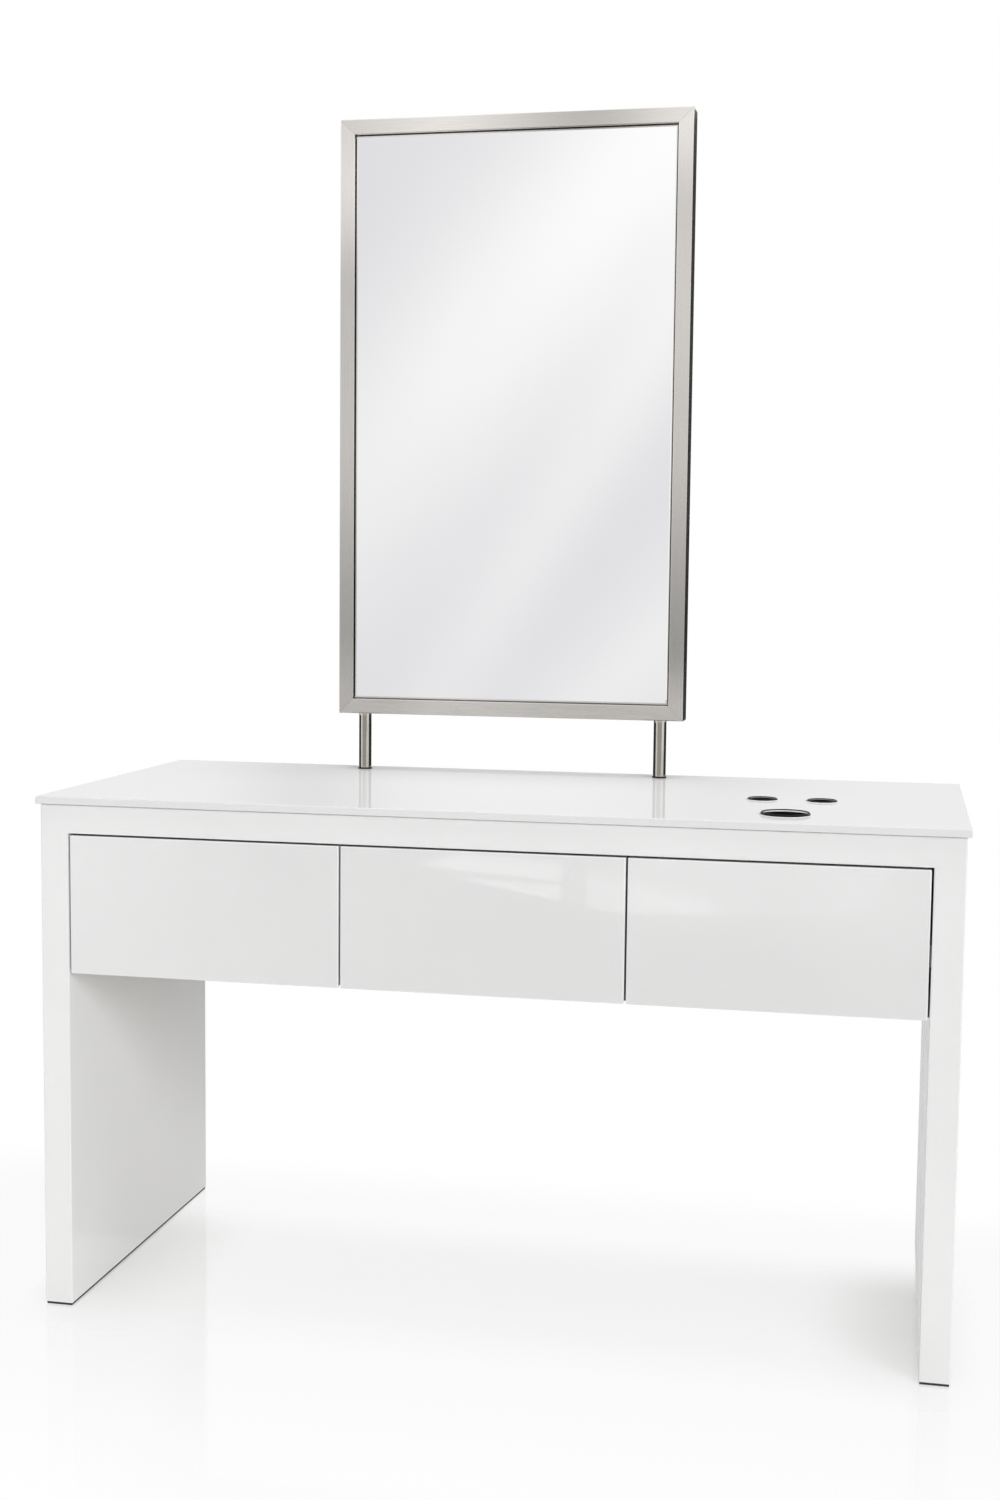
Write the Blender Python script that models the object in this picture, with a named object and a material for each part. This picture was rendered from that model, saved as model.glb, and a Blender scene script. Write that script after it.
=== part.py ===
"""Free-standing styling station for a hair salon.

A lacquered table on two panel legs carries a thin worktop, three drawers on ball-bearing runners, a mirror in a
mitred steel frame on two posts, and three tool holders let into the worktop. Lengths are in metres, +Z is up,
the front faces -Y, and the origin is on the floor under the middle of the worktop.
"""

import math

import bmesh
import bpy
from mathutils import Vector

# Gap between pieces that touch on the real table
GAP = 0.0003

# Table
TABLE_WIDTH = 1.400
TABLE_DEPTH = 0.600
TABLE_HEIGHT = 0.812
WORKTOP_THICKNESS = 0.012
WORKTOP_OVERHANG = 0.006
WORKTOP_EDGE_RADIUS = 0.0012
PANEL_THICKNESS = 0.045
PANEL_EDGE_RADIUS = 0.0010
FOOT_STRIP_HEIGHT = 0.003
FOOT_STRIP_INSET = 0.0015

# Drawer case under the top panel
DIVIDER_THICKNESS = 0.018
CASE_BOARD_THICKNESS = 0.012
CASE_SETBACK = 0.001
FINGER_CUT_DEPTH = 0.028
FINGER_CUT_MARGIN = 0.012
FINGER_CUT_SLOPE = 0.012

# Drawers, counted from the left
DRAWER_PLACES = ("left", "middle", "right")
FRONT_HEIGHT = 0.217
FRONT_THICKNESS = 0.019
FRONT_GAP = 0.003
FRONT_EDGE_RADIUS = 0.0010
GRIP_DROP = 0.001
GRIP_RISE = 0.017
GRIP_LIP = 0.008
DRAWER_BOARD_THICKNESS = 0.012
DRAWER_BOTTOM_THICKNESS = 0.006
GROOVE_DEPTH = 0.006
GROOVE_RISE = 0.010
DRAWER_FLOOR_CLEARANCE = 0.006
DRAWER_BACK_CLEARANCE = 0.008

# Ball-bearing runners
RUNNER_END_CLEARANCE = 0.002
RUNNER_OVERLAP = 0.135
RAIL_HEIGHT = 0.035
RAIL_STRIP = 0.0012
RAIL_FLANGE = 0.003
RAIL_LIP_ANGLE = math.radians(30)
RAIL_TIP_ANGLE = math.radians(60)
BALL_RADIUS = 0.0024
BALLS_PER_ROW = 4
CAGE_STRIP = 0.0008
CAGE_PLAY = 0.0007
CAGE_END_CLEARANCE = 0.003

# Tool holders let into the worktop, one for a dryer and two for irons
DRYER_BORE_RADIUS = 0.0325
IRON_BORE_RADIUS = 0.0195
HOLDER_WALL = 0.0015
HOLDER_RIM_WIDTH = 0.003
HOLDER_RIM_HEIGHT = 0.0018
HOLDER_DEPTH = 0.110
HOLDER_FLOOR_RADIUS = 0.006
HOLDER_CLEARANCE = 0.0005
HOLDER_HEADROOM = 0.008
HOLDERS_FROM_RIGHT = 0.260
DRYER_FROM_FRONT = 0.092
IRONS_FROM_DRYER = 0.185
IRON_SPACING = 0.093

# Mirror
MIRROR_WIDTH = 0.614
MIRROR_HEIGHT = 1.030
MIRROR_OFFSET = -0.069
MIRROR_RISE = 0.101
FRAME_FACE = 0.026
FRAME_DEPTH = 0.050
FRAME_WALL = 0.0015
FRAME_CORNER_RADIUS = 0.0016
FRAME_LIP_WIDTH = 0.012
FRAME_LIP_THICKNESS = 0.002
GLASS_RECESS = 0.005
GLASS_REVEAL = 0.0022
GLASS_THICKNESS = 0.005
GLASS_BEVEL_WIDTH = 0.0025
GLASS_BEVEL_DEPTH = 0.0010
BACKING_THICKNESS = 0.012

# Mirror posts and what bolts them down
POST_INSET = 0.042
POST_FROM_BACK = 0.045
POST_RADIUS = 0.011
POST_ROOM = 0.004
GASKET_RADIUS = 0.0126
GASKET_HEIGHT = 0.002
STUD_RADIUS = 0.005
STUD_CLEARANCE = 0.0005
STUD_TAIL = 0.003
WASHER_RADIUS = 0.012
WASHER_THICKNESS = 0.002
NUT_WIDTH = 0.017
NUT_HEIGHT = 0.008

# Facets of round pieces
HOLDER_STEPS = 36
POST_STEPS = 32
STUD_STEPS = 24
ARC_STEPS = 2
RACE_STEPS = 5
BALL_SEGMENTS = 8
BALL_RINGS = 5
HEXAGON = 6

# Heights that follow from the sizes
WORKTOP_UNDERSIDE = TABLE_HEIGHT - WORKTOP_THICKNESS
PANEL_TOP = WORKTOP_UNDERSIDE - GAP
CASE_TOP = PANEL_TOP - PANEL_THICKNESS
FRONT_TOP = CASE_TOP - FRONT_GAP
FRONT_BOTTOM = FRONT_TOP - FRONT_HEIGHT
CASE_FLOOR = FRONT_BOTTOM + GRIP_DROP + CASE_BOARD_THICKNESS
BOX_BOTTOM = CASE_FLOOR + DRAWER_FLOOR_CLEARANCE
BOX_TOP = min(TABLE_HEIGHT - HOLDER_DEPTH, CASE_TOP) - HOLDER_HEADROOM
RUNNER_HEIGHT = (BOX_BOTTOM + BOX_TOP) / 2
MIRROR_BOTTOM = TABLE_HEIGHT + MIRROR_RISE

# Depths that follow from the sizes, from front to back
FRONT_FACE = -TABLE_DEPTH / 2
BACK_FACE = TABLE_DEPTH / 2
POST_Y = BACK_FACE - POST_FROM_BACK
FRONT_REAR = FRONT_FACE + FRONT_THICKNESS
CASE_FRONT = FRONT_REAR + CASE_SETBACK
CASE_REAR = POST_Y - WASHER_RADIUS - POST_ROOM
BOX_FRONT = FRONT_REAR + GAP
BOX_REAR = CASE_REAR - CASE_BOARD_THICKNESS - DRAWER_BACK_CLEARANCE
RUNNER_FRONT = CASE_FRONT + RUNNER_END_CLEARANCE
RUNNER_REAR = BOX_REAR - RUNNER_END_CLEARANCE
RUNNER_MIDDLE = (RUNNER_FRONT + RUNNER_REAR) / 2
CAGE_LENGTH = RUNNER_OVERLAP - 2 * CAGE_END_CLEARANCE

# Widths that follow from the sizes
HALF_WIDTH = TABLE_WIDTH / 2
INNER_HALF = HALF_WIDTH - PANEL_THICKNESS
DRAWER_COUNT = len(DRAWER_PLACES)
DRAWER_STEPS = [i - (DRAWER_COUNT - 1) / 2 for i in range(DRAWER_COUNT)]
BAY_WIDTH = (2 * INNER_HALF - (DRAWER_COUNT - 1) * DIVIDER_THICKNESS) / DRAWER_COUNT
BAY_PITCH = BAY_WIDTH + DIVIDER_THICKNESS
FRONT_WIDTH = (2 * INNER_HALF - (DRAWER_COUNT + 1) * FRONT_GAP) / DRAWER_COUNT
FRONT_PITCH = FRONT_WIDTH + FRONT_GAP

# Runner section, measured from the wall that carries it towards the drawer
RACE_RADIUS = BALL_RADIUS + GAP + RAIL_STRIP / 2
CABINET_WEB = GAP + RAIL_STRIP / 2
CAGE_WEB = CABINET_WEB + RAIL_STRIP / 2 + CAGE_PLAY + CAGE_STRIP / 2
RAIL_TIP = CAGE_WEB + CAGE_STRIP / 2 + CAGE_PLAY + RAIL_STRIP / 2
BALL_OUT = RAIL_TIP + RACE_RADIUS * math.cos(RAIL_TIP_ANGLE)
BALL_UP = RAIL_HEIGHT / 2 - RAIL_STRIP / 2 - RACE_RADIUS
DRAWER_WEB = BALL_OUT + RACE_RADIUS * math.cos(RAIL_LIP_ANGLE) + RAIL_FLANGE
RUNNER_SPACE = DRAWER_WEB + RAIL_STRIP / 2 + GAP

# Drawer box, measured across from its own middle
BOX_HALF = BAY_WIDTH / 2 - RUNNER_SPACE
BOX_INNER_HALF = BOX_HALF - DRAWER_BOARD_THICKNESS
BOTTOM_LEVEL = BOX_BOTTOM + GROOVE_RISE + GAP

# Mirror outline and depths
MIRROR_LEFT = MIRROR_OFFSET - MIRROR_WIDTH / 2
MIRROR_RIGHT = MIRROR_OFFSET + MIRROR_WIDTH / 2
MIRROR_TOP = MIRROR_BOTTOM + MIRROR_HEIGHT
FRAME_FRONT = POST_Y - FRAME_DEPTH / 2
GLASS_FRONT = FRAME_FRONT + GLASS_RECESS
BACKING_FRONT = GLASS_FRONT + GLASS_THICKNESS + GAP
LIP_FRONT = BACKING_FRONT + BACKING_THICKNESS + GAP

# Places of the round holes in the worktop and the top panel
DRYER_X = HALF_WIDTH - HOLDERS_FROM_RIGHT
DRYER_Y = FRONT_FACE + DRYER_FROM_FRONT
IRON_Y = DRYER_Y + IRONS_FROM_DRYER
HOLDERS = (
    ("dryer_holder", DRYER_X, DRYER_Y, DRYER_BORE_RADIUS),
    ("iron_holder_left", DRYER_X - IRON_SPACING / 2, IRON_Y, IRON_BORE_RADIUS),
    ("iron_holder_right", DRYER_X + IRON_SPACING / 2, IRON_Y, IRON_BORE_RADIUS),
)
POSTS = (("left", MIRROR_LEFT + POST_INSET), ("right", MIRROR_RIGHT - POST_INSET))
STUD_HOLE_RADIUS = STUD_RADIUS + STUD_CLEARANCE


def clear_scene():
    for item in list(bpy.data.objects):
        bpy.data.objects.remove(item, do_unlink=True)


def finish(name, colour, roughness, metallic=0.0):
    """A plain material: base colour, roughness and metallic value."""
    material = bpy.data.materials.new(name)
    material.use_nodes = True
    shader = material.node_tree.nodes["Principled BSDF"]
    shader.inputs["Base Color"].default_value = (*colour, 1.0)
    shader.inputs["Roughness"].default_value = roughness
    shader.inputs["Metallic"].default_value = metallic
    return material


def finishes():
    return {
        "lacquer": finish("white_lacquer", (0.86, 0.86, 0.85), 0.12),
        "worktop": finish("white_worktop", (0.88, 0.88, 0.87), 0.08),
        "board": finish("drawer_board", (0.80, 0.80, 0.78), 0.45),
        "zinc": finish("zinc_steel", (0.60, 0.61, 0.62), 0.35, 1.0),
        "ball": finish("bearing_steel", (0.70, 0.70, 0.70), 0.15, 1.0),
        "steel": finish("brushed_steel", (0.62, 0.60, 0.57), 0.32, 1.0),
        "mirror": finish("mirror_glass", (0.92, 0.93, 0.94), 0.02, 1.0),
        "backing": finish("black_backing", (0.03, 0.03, 0.03), 0.60),
        "rubber": finish("black_rubber", (0.02, 0.02, 0.02), 0.70),
        "holder": finish("dark_chrome", (0.10, 0.10, 0.10), 0.20, 1.0),
    }


# Making and placing objects


def axis_empty(name, location):
    """An empty that carries the pieces of one moving body."""
    empty = bpy.data.objects.new(name, None)
    empty.empty_display_size = FRONT_HEIGHT / 4
    empty.location = location
    bpy.context.scene.collection.objects.link(empty)
    return empty


def add_object(name, bm, material=None, location=(0, 0, 0), parent=None, smooth=False):
    """Turns a bmesh into a named object at a place in the world, carried by its parent."""
    bmesh.ops.recalc_face_normals(bm, faces=bm.faces)
    mesh = bpy.data.meshes.new(name)
    bm.to_mesh(mesh)
    bm.free()
    if smooth:
        mesh.shade_smooth()
        mesh.set_sharp_from_angle(angle=math.radians(35))
    made = bpy.data.objects.new(name, mesh)
    made.location = Vector(location)
    if parent:
        made.parent = parent
        made.location -= parent.location
    if material:
        mesh.materials.append(material)
    bpy.context.scene.collection.objects.link(made)
    return made


def add_cutter(name, bm):
    cutter = add_object(name, bm)
    cutter.hide_render = True
    cutter.display_type = "WIRE"
    return cutter


def combine(target, tool, operation):
    modifier = target.modifiers.new(operation.lower(), "BOOLEAN")
    modifier.operation = operation
    modifier.object = tool


def soften(target, radius):
    modifier = target.modifiers.new("edges", "BEVEL")
    modifier.width = radius
    modifier.segments = 2
    modifier.limit_method = "ANGLE"


# Shapes


def box_mesh(low, high, about=(0, 0, 0)):
    """A box between two corners, with its mesh placed about a point."""
    bm = bmesh.new()
    bmesh.ops.create_cube(bm, size=1.0)
    low, high, about = Vector(low), Vector(high), Vector(about)
    bmesh.ops.scale(bm, vec=high - low, verts=bm.verts)
    bmesh.ops.translate(bm, vec=(low + high) / 2 - about, verts=bm.verts)
    return bm


def board(name, low, high, material, parent=None):
    """A flat board between two corners, with its origin at its middle."""
    middle = (Vector(low) + Vector(high)) / 2
    return add_object(name, box_mesh(low, high, middle), material, middle, parent)


def along_y(across, up, length):
    return Vector((across, length, up))


def along_x(depth, up, length):
    return Vector((length, depth, up))


def along_z(across, depth, length):
    return Vector((across, depth, length))


def extruded(outline, start, end, place):
    """A bar with that outline, from start to end along the axis that place chooses."""
    bm = bmesh.new()
    face = bm.faces.new([bm.verts.new(place(a, b, start)) for a, b in outline])
    grown = bmesh.ops.extrude_face_region(bm, geom=[face])["geom"]
    moved = [item for item in grown if isinstance(item, bmesh.types.BMVert)]
    bmesh.ops.translate(bm, vec=place(0, 0, end - start), verts=moved)
    return bm


def arc(centre, radius, start, end, steps):
    """Points on a circle from one angle to another, both ends included."""
    angles = [start + (end - start) * i / steps for i in range(steps + 1)]
    return [Vector((centre[0] + radius * math.cos(a), centre[1] + radius * math.sin(a))) for a in angles]


def strip_outline(path, thickness):
    """The closed outline of a bent strip whose middle follows the path."""
    left, right = [], []
    for i, point in enumerate(path):
        legs = [path[j + 1] - path[j] for j in (i - 1, i) if 0 <= j < len(path) - 1]
        normals = [Vector((-leg.y, leg.x)).normalized() for leg in legs]
        first, last = normals[0], normals[-1]
        mitre = (first + last) / (1 + first.dot(last)) * thickness / 2
        left.append(point + mitre)
        right.append(point - mitre)
    return left + right[::-1]


def turned(profile, steps, closed=False):
    """A round piece: the profile of (radius, height) points spun about the Z axis."""
    bm = bmesh.new()
    points = [bm.verts.new((r, 0, z)) for r, z in profile]
    ends = points[1:] + points[:1] if closed else points[1:]
    edges = [bm.edges.new(pair) for pair in zip(points, ends)]
    bmesh.ops.spin(bm, geom=points + edges, axis=(0, 0, 1), cent=(0, 0, 0), angle=math.tau, steps=steps)
    bmesh.ops.remove_doubles(bm, verts=bm.verts, dist=1e-6)
    return bm


def cylinder_into(bm, x, y, low, high, radius, steps):
    made = bmesh.ops.create_cone(bm, cap_ends=True, segments=steps, radius1=radius, radius2=radius, depth=high - low)
    bmesh.ops.translate(bm, vec=(x, y, (low + high) / 2), verts=made["verts"])


# Table


def bored_through(target, low, high):
    """Cuts the holes for the tool holders and the post studs through a board."""
    bm = bmesh.new()
    reach = WORKTOP_THICKNESS
    for _, x, y, bore in HOLDERS:
        radius = bore + HOLDER_WALL + HOLDER_CLEARANCE
        cylinder_into(bm, x, y, low - reach, high + reach, radius, HOLDER_STEPS)
    for _, x in POSTS:
        cylinder_into(bm, x, POST_Y, low - reach, high + reach, STUD_HOLE_RADIUS, STUD_STEPS)
    combine(target, add_cutter(target.name + "_holes", bm), "DIFFERENCE")


def make_worktop(material):
    reach = WORKTOP_OVERHANG
    low = (-HALF_WIDTH - reach, FRONT_FACE - reach, WORKTOP_UNDERSIDE)
    high = (HALF_WIDTH + reach, BACK_FACE + reach, TABLE_HEIGHT)
    worktop = board("worktop", low, high, material["worktop"])
    soften(worktop, WORKTOP_EDGE_RADIUS)
    bored_through(worktop, WORKTOP_UNDERSIDE, TABLE_HEIGHT)


def make_side_panel(hand, side, material):
    """A panel leg with its four outer edges eased, on a foot strip that stands back from its faces."""
    inner, outer = sorted((side * INNER_HALF, side * HALF_WIDTH))
    middle = Vector((side * (INNER_HALF + HALF_WIDTH) / 2, 0, PANEL_TOP / 2))
    bm = box_mesh((inner, FRONT_FACE, FOOT_STRIP_HEIGHT + GAP), (outer, BACK_FACE, PANEL_TOP), middle)
    eased = [edge for edge in bm.edges if all(vert.co.x * side > 0 for vert in edge.verts)]
    bmesh.ops.bevel(bm, geom=eased, offset=PANEL_EDGE_RADIUS, segments=2, profile=0.5, affect="EDGES")
    add_object("side_panel_" + hand, bm, material["lacquer"], middle)
    inset = Vector((FOOT_STRIP_INSET, FOOT_STRIP_INSET, 0))
    low = Vector((inner, FRONT_FACE, 0)) + inset
    high = Vector((outer, BACK_FACE, FOOT_STRIP_HEIGHT)) - inset
    board("foot_strip_" + hand, low, high, material["rubber"])


def case_bottom_outline():
    """The case bottom from above: its front edge is cut back behind each drawer front to let the fingers in."""
    edge, deep = INNER_HALF - GAP, CASE_FRONT + FINGER_CUT_DEPTH
    wide = BAY_WIDTH / 2 - FINGER_CUT_MARGIN
    narrow = wide - FINGER_CUT_SLOPE
    outline = [(-edge, CASE_REAR), (-edge, CASE_FRONT)]
    for step in DRAWER_STEPS:
        middle = step * BAY_PITCH
        outline += [(middle - wide, CASE_FRONT), (middle - narrow, deep)]
        outline += [(middle + narrow, deep), (middle + wide, CASE_FRONT)]
    return outline + [(edge, CASE_FRONT), (edge, CASE_REAR)]


def make_case(material):
    """The top panel between the legs, and the boards that close and divide the drawer case."""
    edge = INNER_HALF - GAP
    top = board("top_panel", (-edge, FRONT_FACE, CASE_TOP), (edge, BACK_FACE, PANEL_TOP), material["lacquer"])
    bored_through(top, CASE_TOP, PANEL_TOP)
    bottom = extruded(case_bottom_outline(), -CASE_BOARD_THICKNESS, 0, along_z)
    add_object("case_bottom", bottom, material["lacquer"], (0, 0, CASE_FLOOR))
    low, high = CASE_FLOOR + GAP, CASE_TOP - GAP
    back_front = CASE_REAR - CASE_BOARD_THICKNESS
    board("case_back", (-edge, back_front, low), (edge, CASE_REAR, high), material["lacquer"])
    half = DIVIDER_THICKNESS / 2
    for hand, side in (("left", -1), ("right", 1)):
        x = side * BAY_PITCH / 2
        board("divider_" + hand, (x - half, CASE_FRONT, low), (x + half, back_front - GAP, high), material["lacquer"])


# Drawers


def make_drawer_front(place, step, carrier, material):
    """A handleless front: its lower edge covers the case bottom and is hollowed behind to take the fingers."""
    outline = [
        (0, 0),
        (GRIP_LIP, 0),
        (FRONT_THICKNESS, GRIP_RISE),
        (FRONT_THICKNESS, FRONT_HEIGHT),
        (0, FRONT_HEIGHT),
    ]
    bm = extruded(outline, -FRONT_WIDTH / 2, FRONT_WIDTH / 2, along_x)
    corner = (step * FRONT_PITCH, FRONT_FACE, FRONT_BOTTOM)
    front = add_object(place + "_drawer_front", bm, material["lacquer"], corner, carrier)
    soften(front, FRONT_EDGE_RADIUS)
    middle = step * BAY_PITCH
    low = (middle - BOX_HALF, FRONT_REAR - GROOVE_DEPTH, BOTTOM_LEVEL - GAP)
    high = (middle + BOX_HALF, FRONT_REAR + GROOVE_DEPTH, BOTTOM_LEVEL + DRAWER_BOTTOM_THICKNESS + GAP)
    combine(front, add_cutter(place + "_drawer_front_groove", box_mesh(low, high)), "DIFFERENCE")


def make_drawer_side(place, hand, side, middle, carrier, material):
    """A drawer side with the groove that holds the drawer's bottom."""
    thickness = DRAWER_BOARD_THICKNESS
    groove_top = GROOVE_RISE + DRAWER_BOTTOM_THICKNESS + 2 * GAP
    outline = [
        (0, 0),
        (thickness, 0),
        (thickness, GROOVE_RISE),
        (thickness - GROOVE_DEPTH, GROOVE_RISE),
        (thickness - GROOVE_DEPTH, groove_top),
        (thickness, groove_top),
        (thickness, BOX_TOP - BOX_BOTTOM),
        (0, BOX_TOP - BOX_BOTTOM),
    ]
    inward = [(-side * across, up) for across, up in outline]
    bm = extruded(inward, BOX_FRONT, BOX_REAR, along_y)
    corner = (middle + side * BOX_HALF, 0, BOX_BOTTOM)
    add_object(f"{place}_drawer_side_{hand}", bm, material["board"], corner, carrier)


def make_drawer(place, step, material):
    middle = step * BAY_PITCH
    carrier = axis_empty(place + "_drawer_slide", (middle, RUNNER_MIDDLE, RUNNER_HEIGHT))
    make_drawer_front(place, step, carrier, material)
    for hand, side in (("left", -1), ("right", 1)):
        make_drawer_side(place, hand, side, middle, carrier, material)
    across = BOX_INNER_HALF - GAP
    bottom_top = BOTTOM_LEVEL + DRAWER_BOTTOM_THICKNESS
    low = (middle - across, BOX_REAR - DRAWER_BOARD_THICKNESS, bottom_top + GAP)
    board(place + "_drawer_back", low, (middle + across, BOX_REAR, BOX_TOP), material["board"], carrier)
    across = BOX_INNER_HALF + GROOVE_DEPTH - GAP
    low = (middle - across, FRONT_REAR - GROOVE_DEPTH + GAP, BOTTOM_LEVEL)
    board(place + "_drawer_bottom", low, (middle + across, BOX_REAR, bottom_top), material["board"], carrier)
    make_runners(place, middle, carrier, material)


# Runners


def cabinet_rail_path():
    """The rail on the case: a channel whose two flanges bend over the ball rows."""
    lip, far = RAIL_LIP_ANGLE, math.pi - RAIL_LIP_ANGLE
    shoulder = BALL_UP + RACE_RADIUS * math.sin(RAIL_LIP_ANGLE)
    lower = arc((BALL_OUT, -BALL_UP), RACE_RADIUS, -lip, -far, RACE_STEPS)
    web = [Vector((CABINET_WEB, -shoulder)), Vector((CABINET_WEB, shoulder))]
    return lower + web + arc((BALL_OUT, BALL_UP), RACE_RADIUS, far, lip, RACE_STEPS)


def drawer_rail_path():
    """The rail on the drawer: a channel whose two flanges run inside the ball rows."""
    tip, lip = math.pi + RAIL_TIP_ANGLE, math.tau - RAIL_LIP_ANGLE
    shoulder = BALL_UP - RACE_RADIUS * math.sin(RAIL_LIP_ANGLE)
    upper = arc((BALL_OUT, BALL_UP), RACE_RADIUS, tip, lip, RACE_STEPS)
    web = [Vector((DRAWER_WEB, shoulder)), Vector((DRAWER_WEB, -shoulder))]
    return upper + web + arc((BALL_OUT, -BALL_UP), RACE_RADIUS, -lip, -tip, RACE_STEPS)


def cage_path():
    """The ball cage: a thin channel that spaces both ball rows."""
    reach = BALL_OUT + RACE_RADIUS
    corners = ((reach, -BALL_UP), (CAGE_WEB, -BALL_UP), (CAGE_WEB, BALL_UP), (reach, BALL_UP))
    return [Vector(corner) for corner in corners]


def rail(name, path, strip, length, side, wall, material, carrier):
    """A rolled section standing out from its wall, towards +X on the left of a drawer and -X on its right."""
    outline = [(-side * out, up) for out, up in strip_outline(path, strip)]
    bm = extruded(outline, -length / 2, length / 2, along_y)
    return add_object(name, bm, material, (wall, RUNNER_MIDDLE, RUNNER_HEIGHT), carrier, smooth=True)


def ball_rows(name, side, wall):
    bm = bmesh.new()
    pitch = CAGE_LENGTH / BALLS_PER_ROW
    for row in (-1, 1):
        for i in range(BALLS_PER_ROW):
            ball = bmesh.ops.create_uvsphere(
                bm, u_segments=BALL_SEGMENTS, v_segments=BALL_RINGS, radius=BALL_RADIUS
            )
            along = RUNNER_MIDDLE + (i + 0.5) * pitch - CAGE_LENGTH / 2
            centre = (wall - side * BALL_OUT, along, RUNNER_HEIGHT + row * BALL_UP)
            bmesh.ops.translate(bm, vec=centre, verts=ball["verts"])
    return add_cutter(name, bm)


def make_runners(place, middle, drawer_carrier, material):
    """One runner on each side of a drawer. The ball cages travel half as far as the drawer."""
    length = RUNNER_REAR - RUNNER_FRONT
    cage_carrier = axis_empty(place + "_cage_slide", (middle, RUNNER_MIDDLE, RUNNER_HEIGHT))
    for hand, side in (("left", -1), ("right", 1)):
        name = f"{place}_drawer_{hand}"
        wall = middle + side * BAY_WIDTH / 2
        rail(name + "_cabinet_rail", cabinet_rail_path(), RAIL_STRIP, length, side, wall, material["zinc"], None)
        rail(name + "_drawer_rail", drawer_rail_path(), RAIL_STRIP, length, side, wall, material["zinc"], drawer_carrier)
        cage = rail(name + "_ball_cage", cage_path(), CAGE_STRIP, CAGE_LENGTH, side, wall, material["ball"], cage_carrier)
        combine(cage, ball_rows(name + "_balls", side, wall), "UNION")


# Tool holders


def make_holder(name, x, y, bore, material):
    """A spun cup with a closed floor and a low rounded rim that rests on the worktop."""
    outer = bore + HOLDER_WALL
    rim = outer + HOLDER_RIM_WIDTH
    seat = TABLE_HEIGHT + GAP
    floor = TABLE_HEIGHT - HOLDER_DEPTH
    round_out, round_in = HOLDER_FLOOR_RADIUS, HOLDER_FLOOR_RADIUS - HOLDER_WALL
    quarter = math.pi / 2
    profile = [
        (0, floor),
        *arc((outer - round_out, floor + round_out), round_out, -quarter, 0, ARC_STEPS),
        (outer, seat),
        (rim, seat),
        *arc((rim - HOLDER_RIM_HEIGHT, seat), HOLDER_RIM_HEIGHT, quarter / ARC_STEPS, quarter, ARC_STEPS - 1),
        *arc((bore + HOLDER_RIM_HEIGHT, seat), HOLDER_RIM_HEIGHT, quarter, math.pi, ARC_STEPS),
        *arc((bore - round_in, floor + round_out), round_in, 0, -quarter, ARC_STEPS),
        (0, floor + HOLDER_WALL),
    ]
    add_object(name, turned(profile, HOLDER_STEPS), material["holder"], (x, y, 0), smooth=True)


# Mirror


def frame_section():
    """The frame tube: (inward, depth) points, with rounded corners and a lip inside that the backing rests on."""
    radius, lip = FRAME_CORNER_RADIUS, LIP_FRONT - FRAME_FRONT
    near, wide, deep = radius, FRAME_FACE - radius, FRAME_DEPTH - radius
    quarter = math.pi / 2
    return [
        *arc((near, near), radius, 2 * quarter, 3 * quarter, ARC_STEPS),
        *arc((wide, near), radius, 3 * quarter, 4 * quarter, ARC_STEPS),
        (FRAME_FACE, lip),
        (FRAME_FACE + FRAME_LIP_WIDTH, lip),
        (FRAME_FACE + FRAME_LIP_WIDTH, lip + FRAME_LIP_THICKNESS),
        (FRAME_FACE, lip + FRAME_LIP_THICKNESS),
        *arc((wide, deep), radius, 0, quarter, ARC_STEPS),
        *arc((near, deep), radius, quarter, 2 * quarter, ARC_STEPS),
    ]


def inward_and_deep(inward, depth, length):
    return Vector((length, depth, inward))


def make_frame_member(name, length, corner, turns, material):
    """One tube of the frame, mitred at both ends, turned in quarter turns to its side of the mirror."""
    bm = extruded(frame_section(), 0, length, inward_and_deep)
    for vert in bm.verts:
        mitre = vert.co.z + GAP / 2
        vert.co.x += mitre if vert.co.x < length / 2 else -mitre
    member = add_object(name, bm, material["steel"], corner, smooth=True)
    member.rotation_euler.y = -turns * math.pi / 2
    low = (-FRAME_FACE, FRAME_WALL, FRAME_WALL)
    high = (length + FRAME_FACE, FRAME_DEPTH - FRAME_WALL, FRAME_FACE - FRAME_WALL)
    hollow = add_cutter(name + "_hollow", box_mesh(low, high))
    hollow.location = corner
    hollow.rotation_euler = member.rotation_euler
    combine(member, hollow, "DIFFERENCE")


def make_glass(low, high, material):
    """The mirror glass, with a narrow bevel polished round its front face."""
    middle = (low + high) / 2 + Vector((0, GLASS_FRONT, 0))
    layers = (
        (GLASS_BEVEL_WIDTH, 0),
        (0, GLASS_BEVEL_DEPTH),
        (0, GLASS_THICKNESS),
    )
    bm = bmesh.new()
    rings = []
    for inset, depth in layers:
        across, up = (high.x - low.x) / 2 - inset, (high.z - low.z) / 2 - inset
        corners = ((-across, -up), (across, -up), (across, up), (-across, up))
        rings.append([bm.verts.new((x, depth, z)) for x, z in corners])
    bm.faces.new(rings[0])
    bm.faces.new(rings[-1])
    for front, rear in zip(rings, rings[1:]):
        for i, j in ((0, 1), (1, 2), (2, 3), (3, 0)):
            bm.faces.new((front[i], front[j], rear[j], rear[i]))
    add_object("mirror_glass", bm, material["mirror"], middle)


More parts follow.
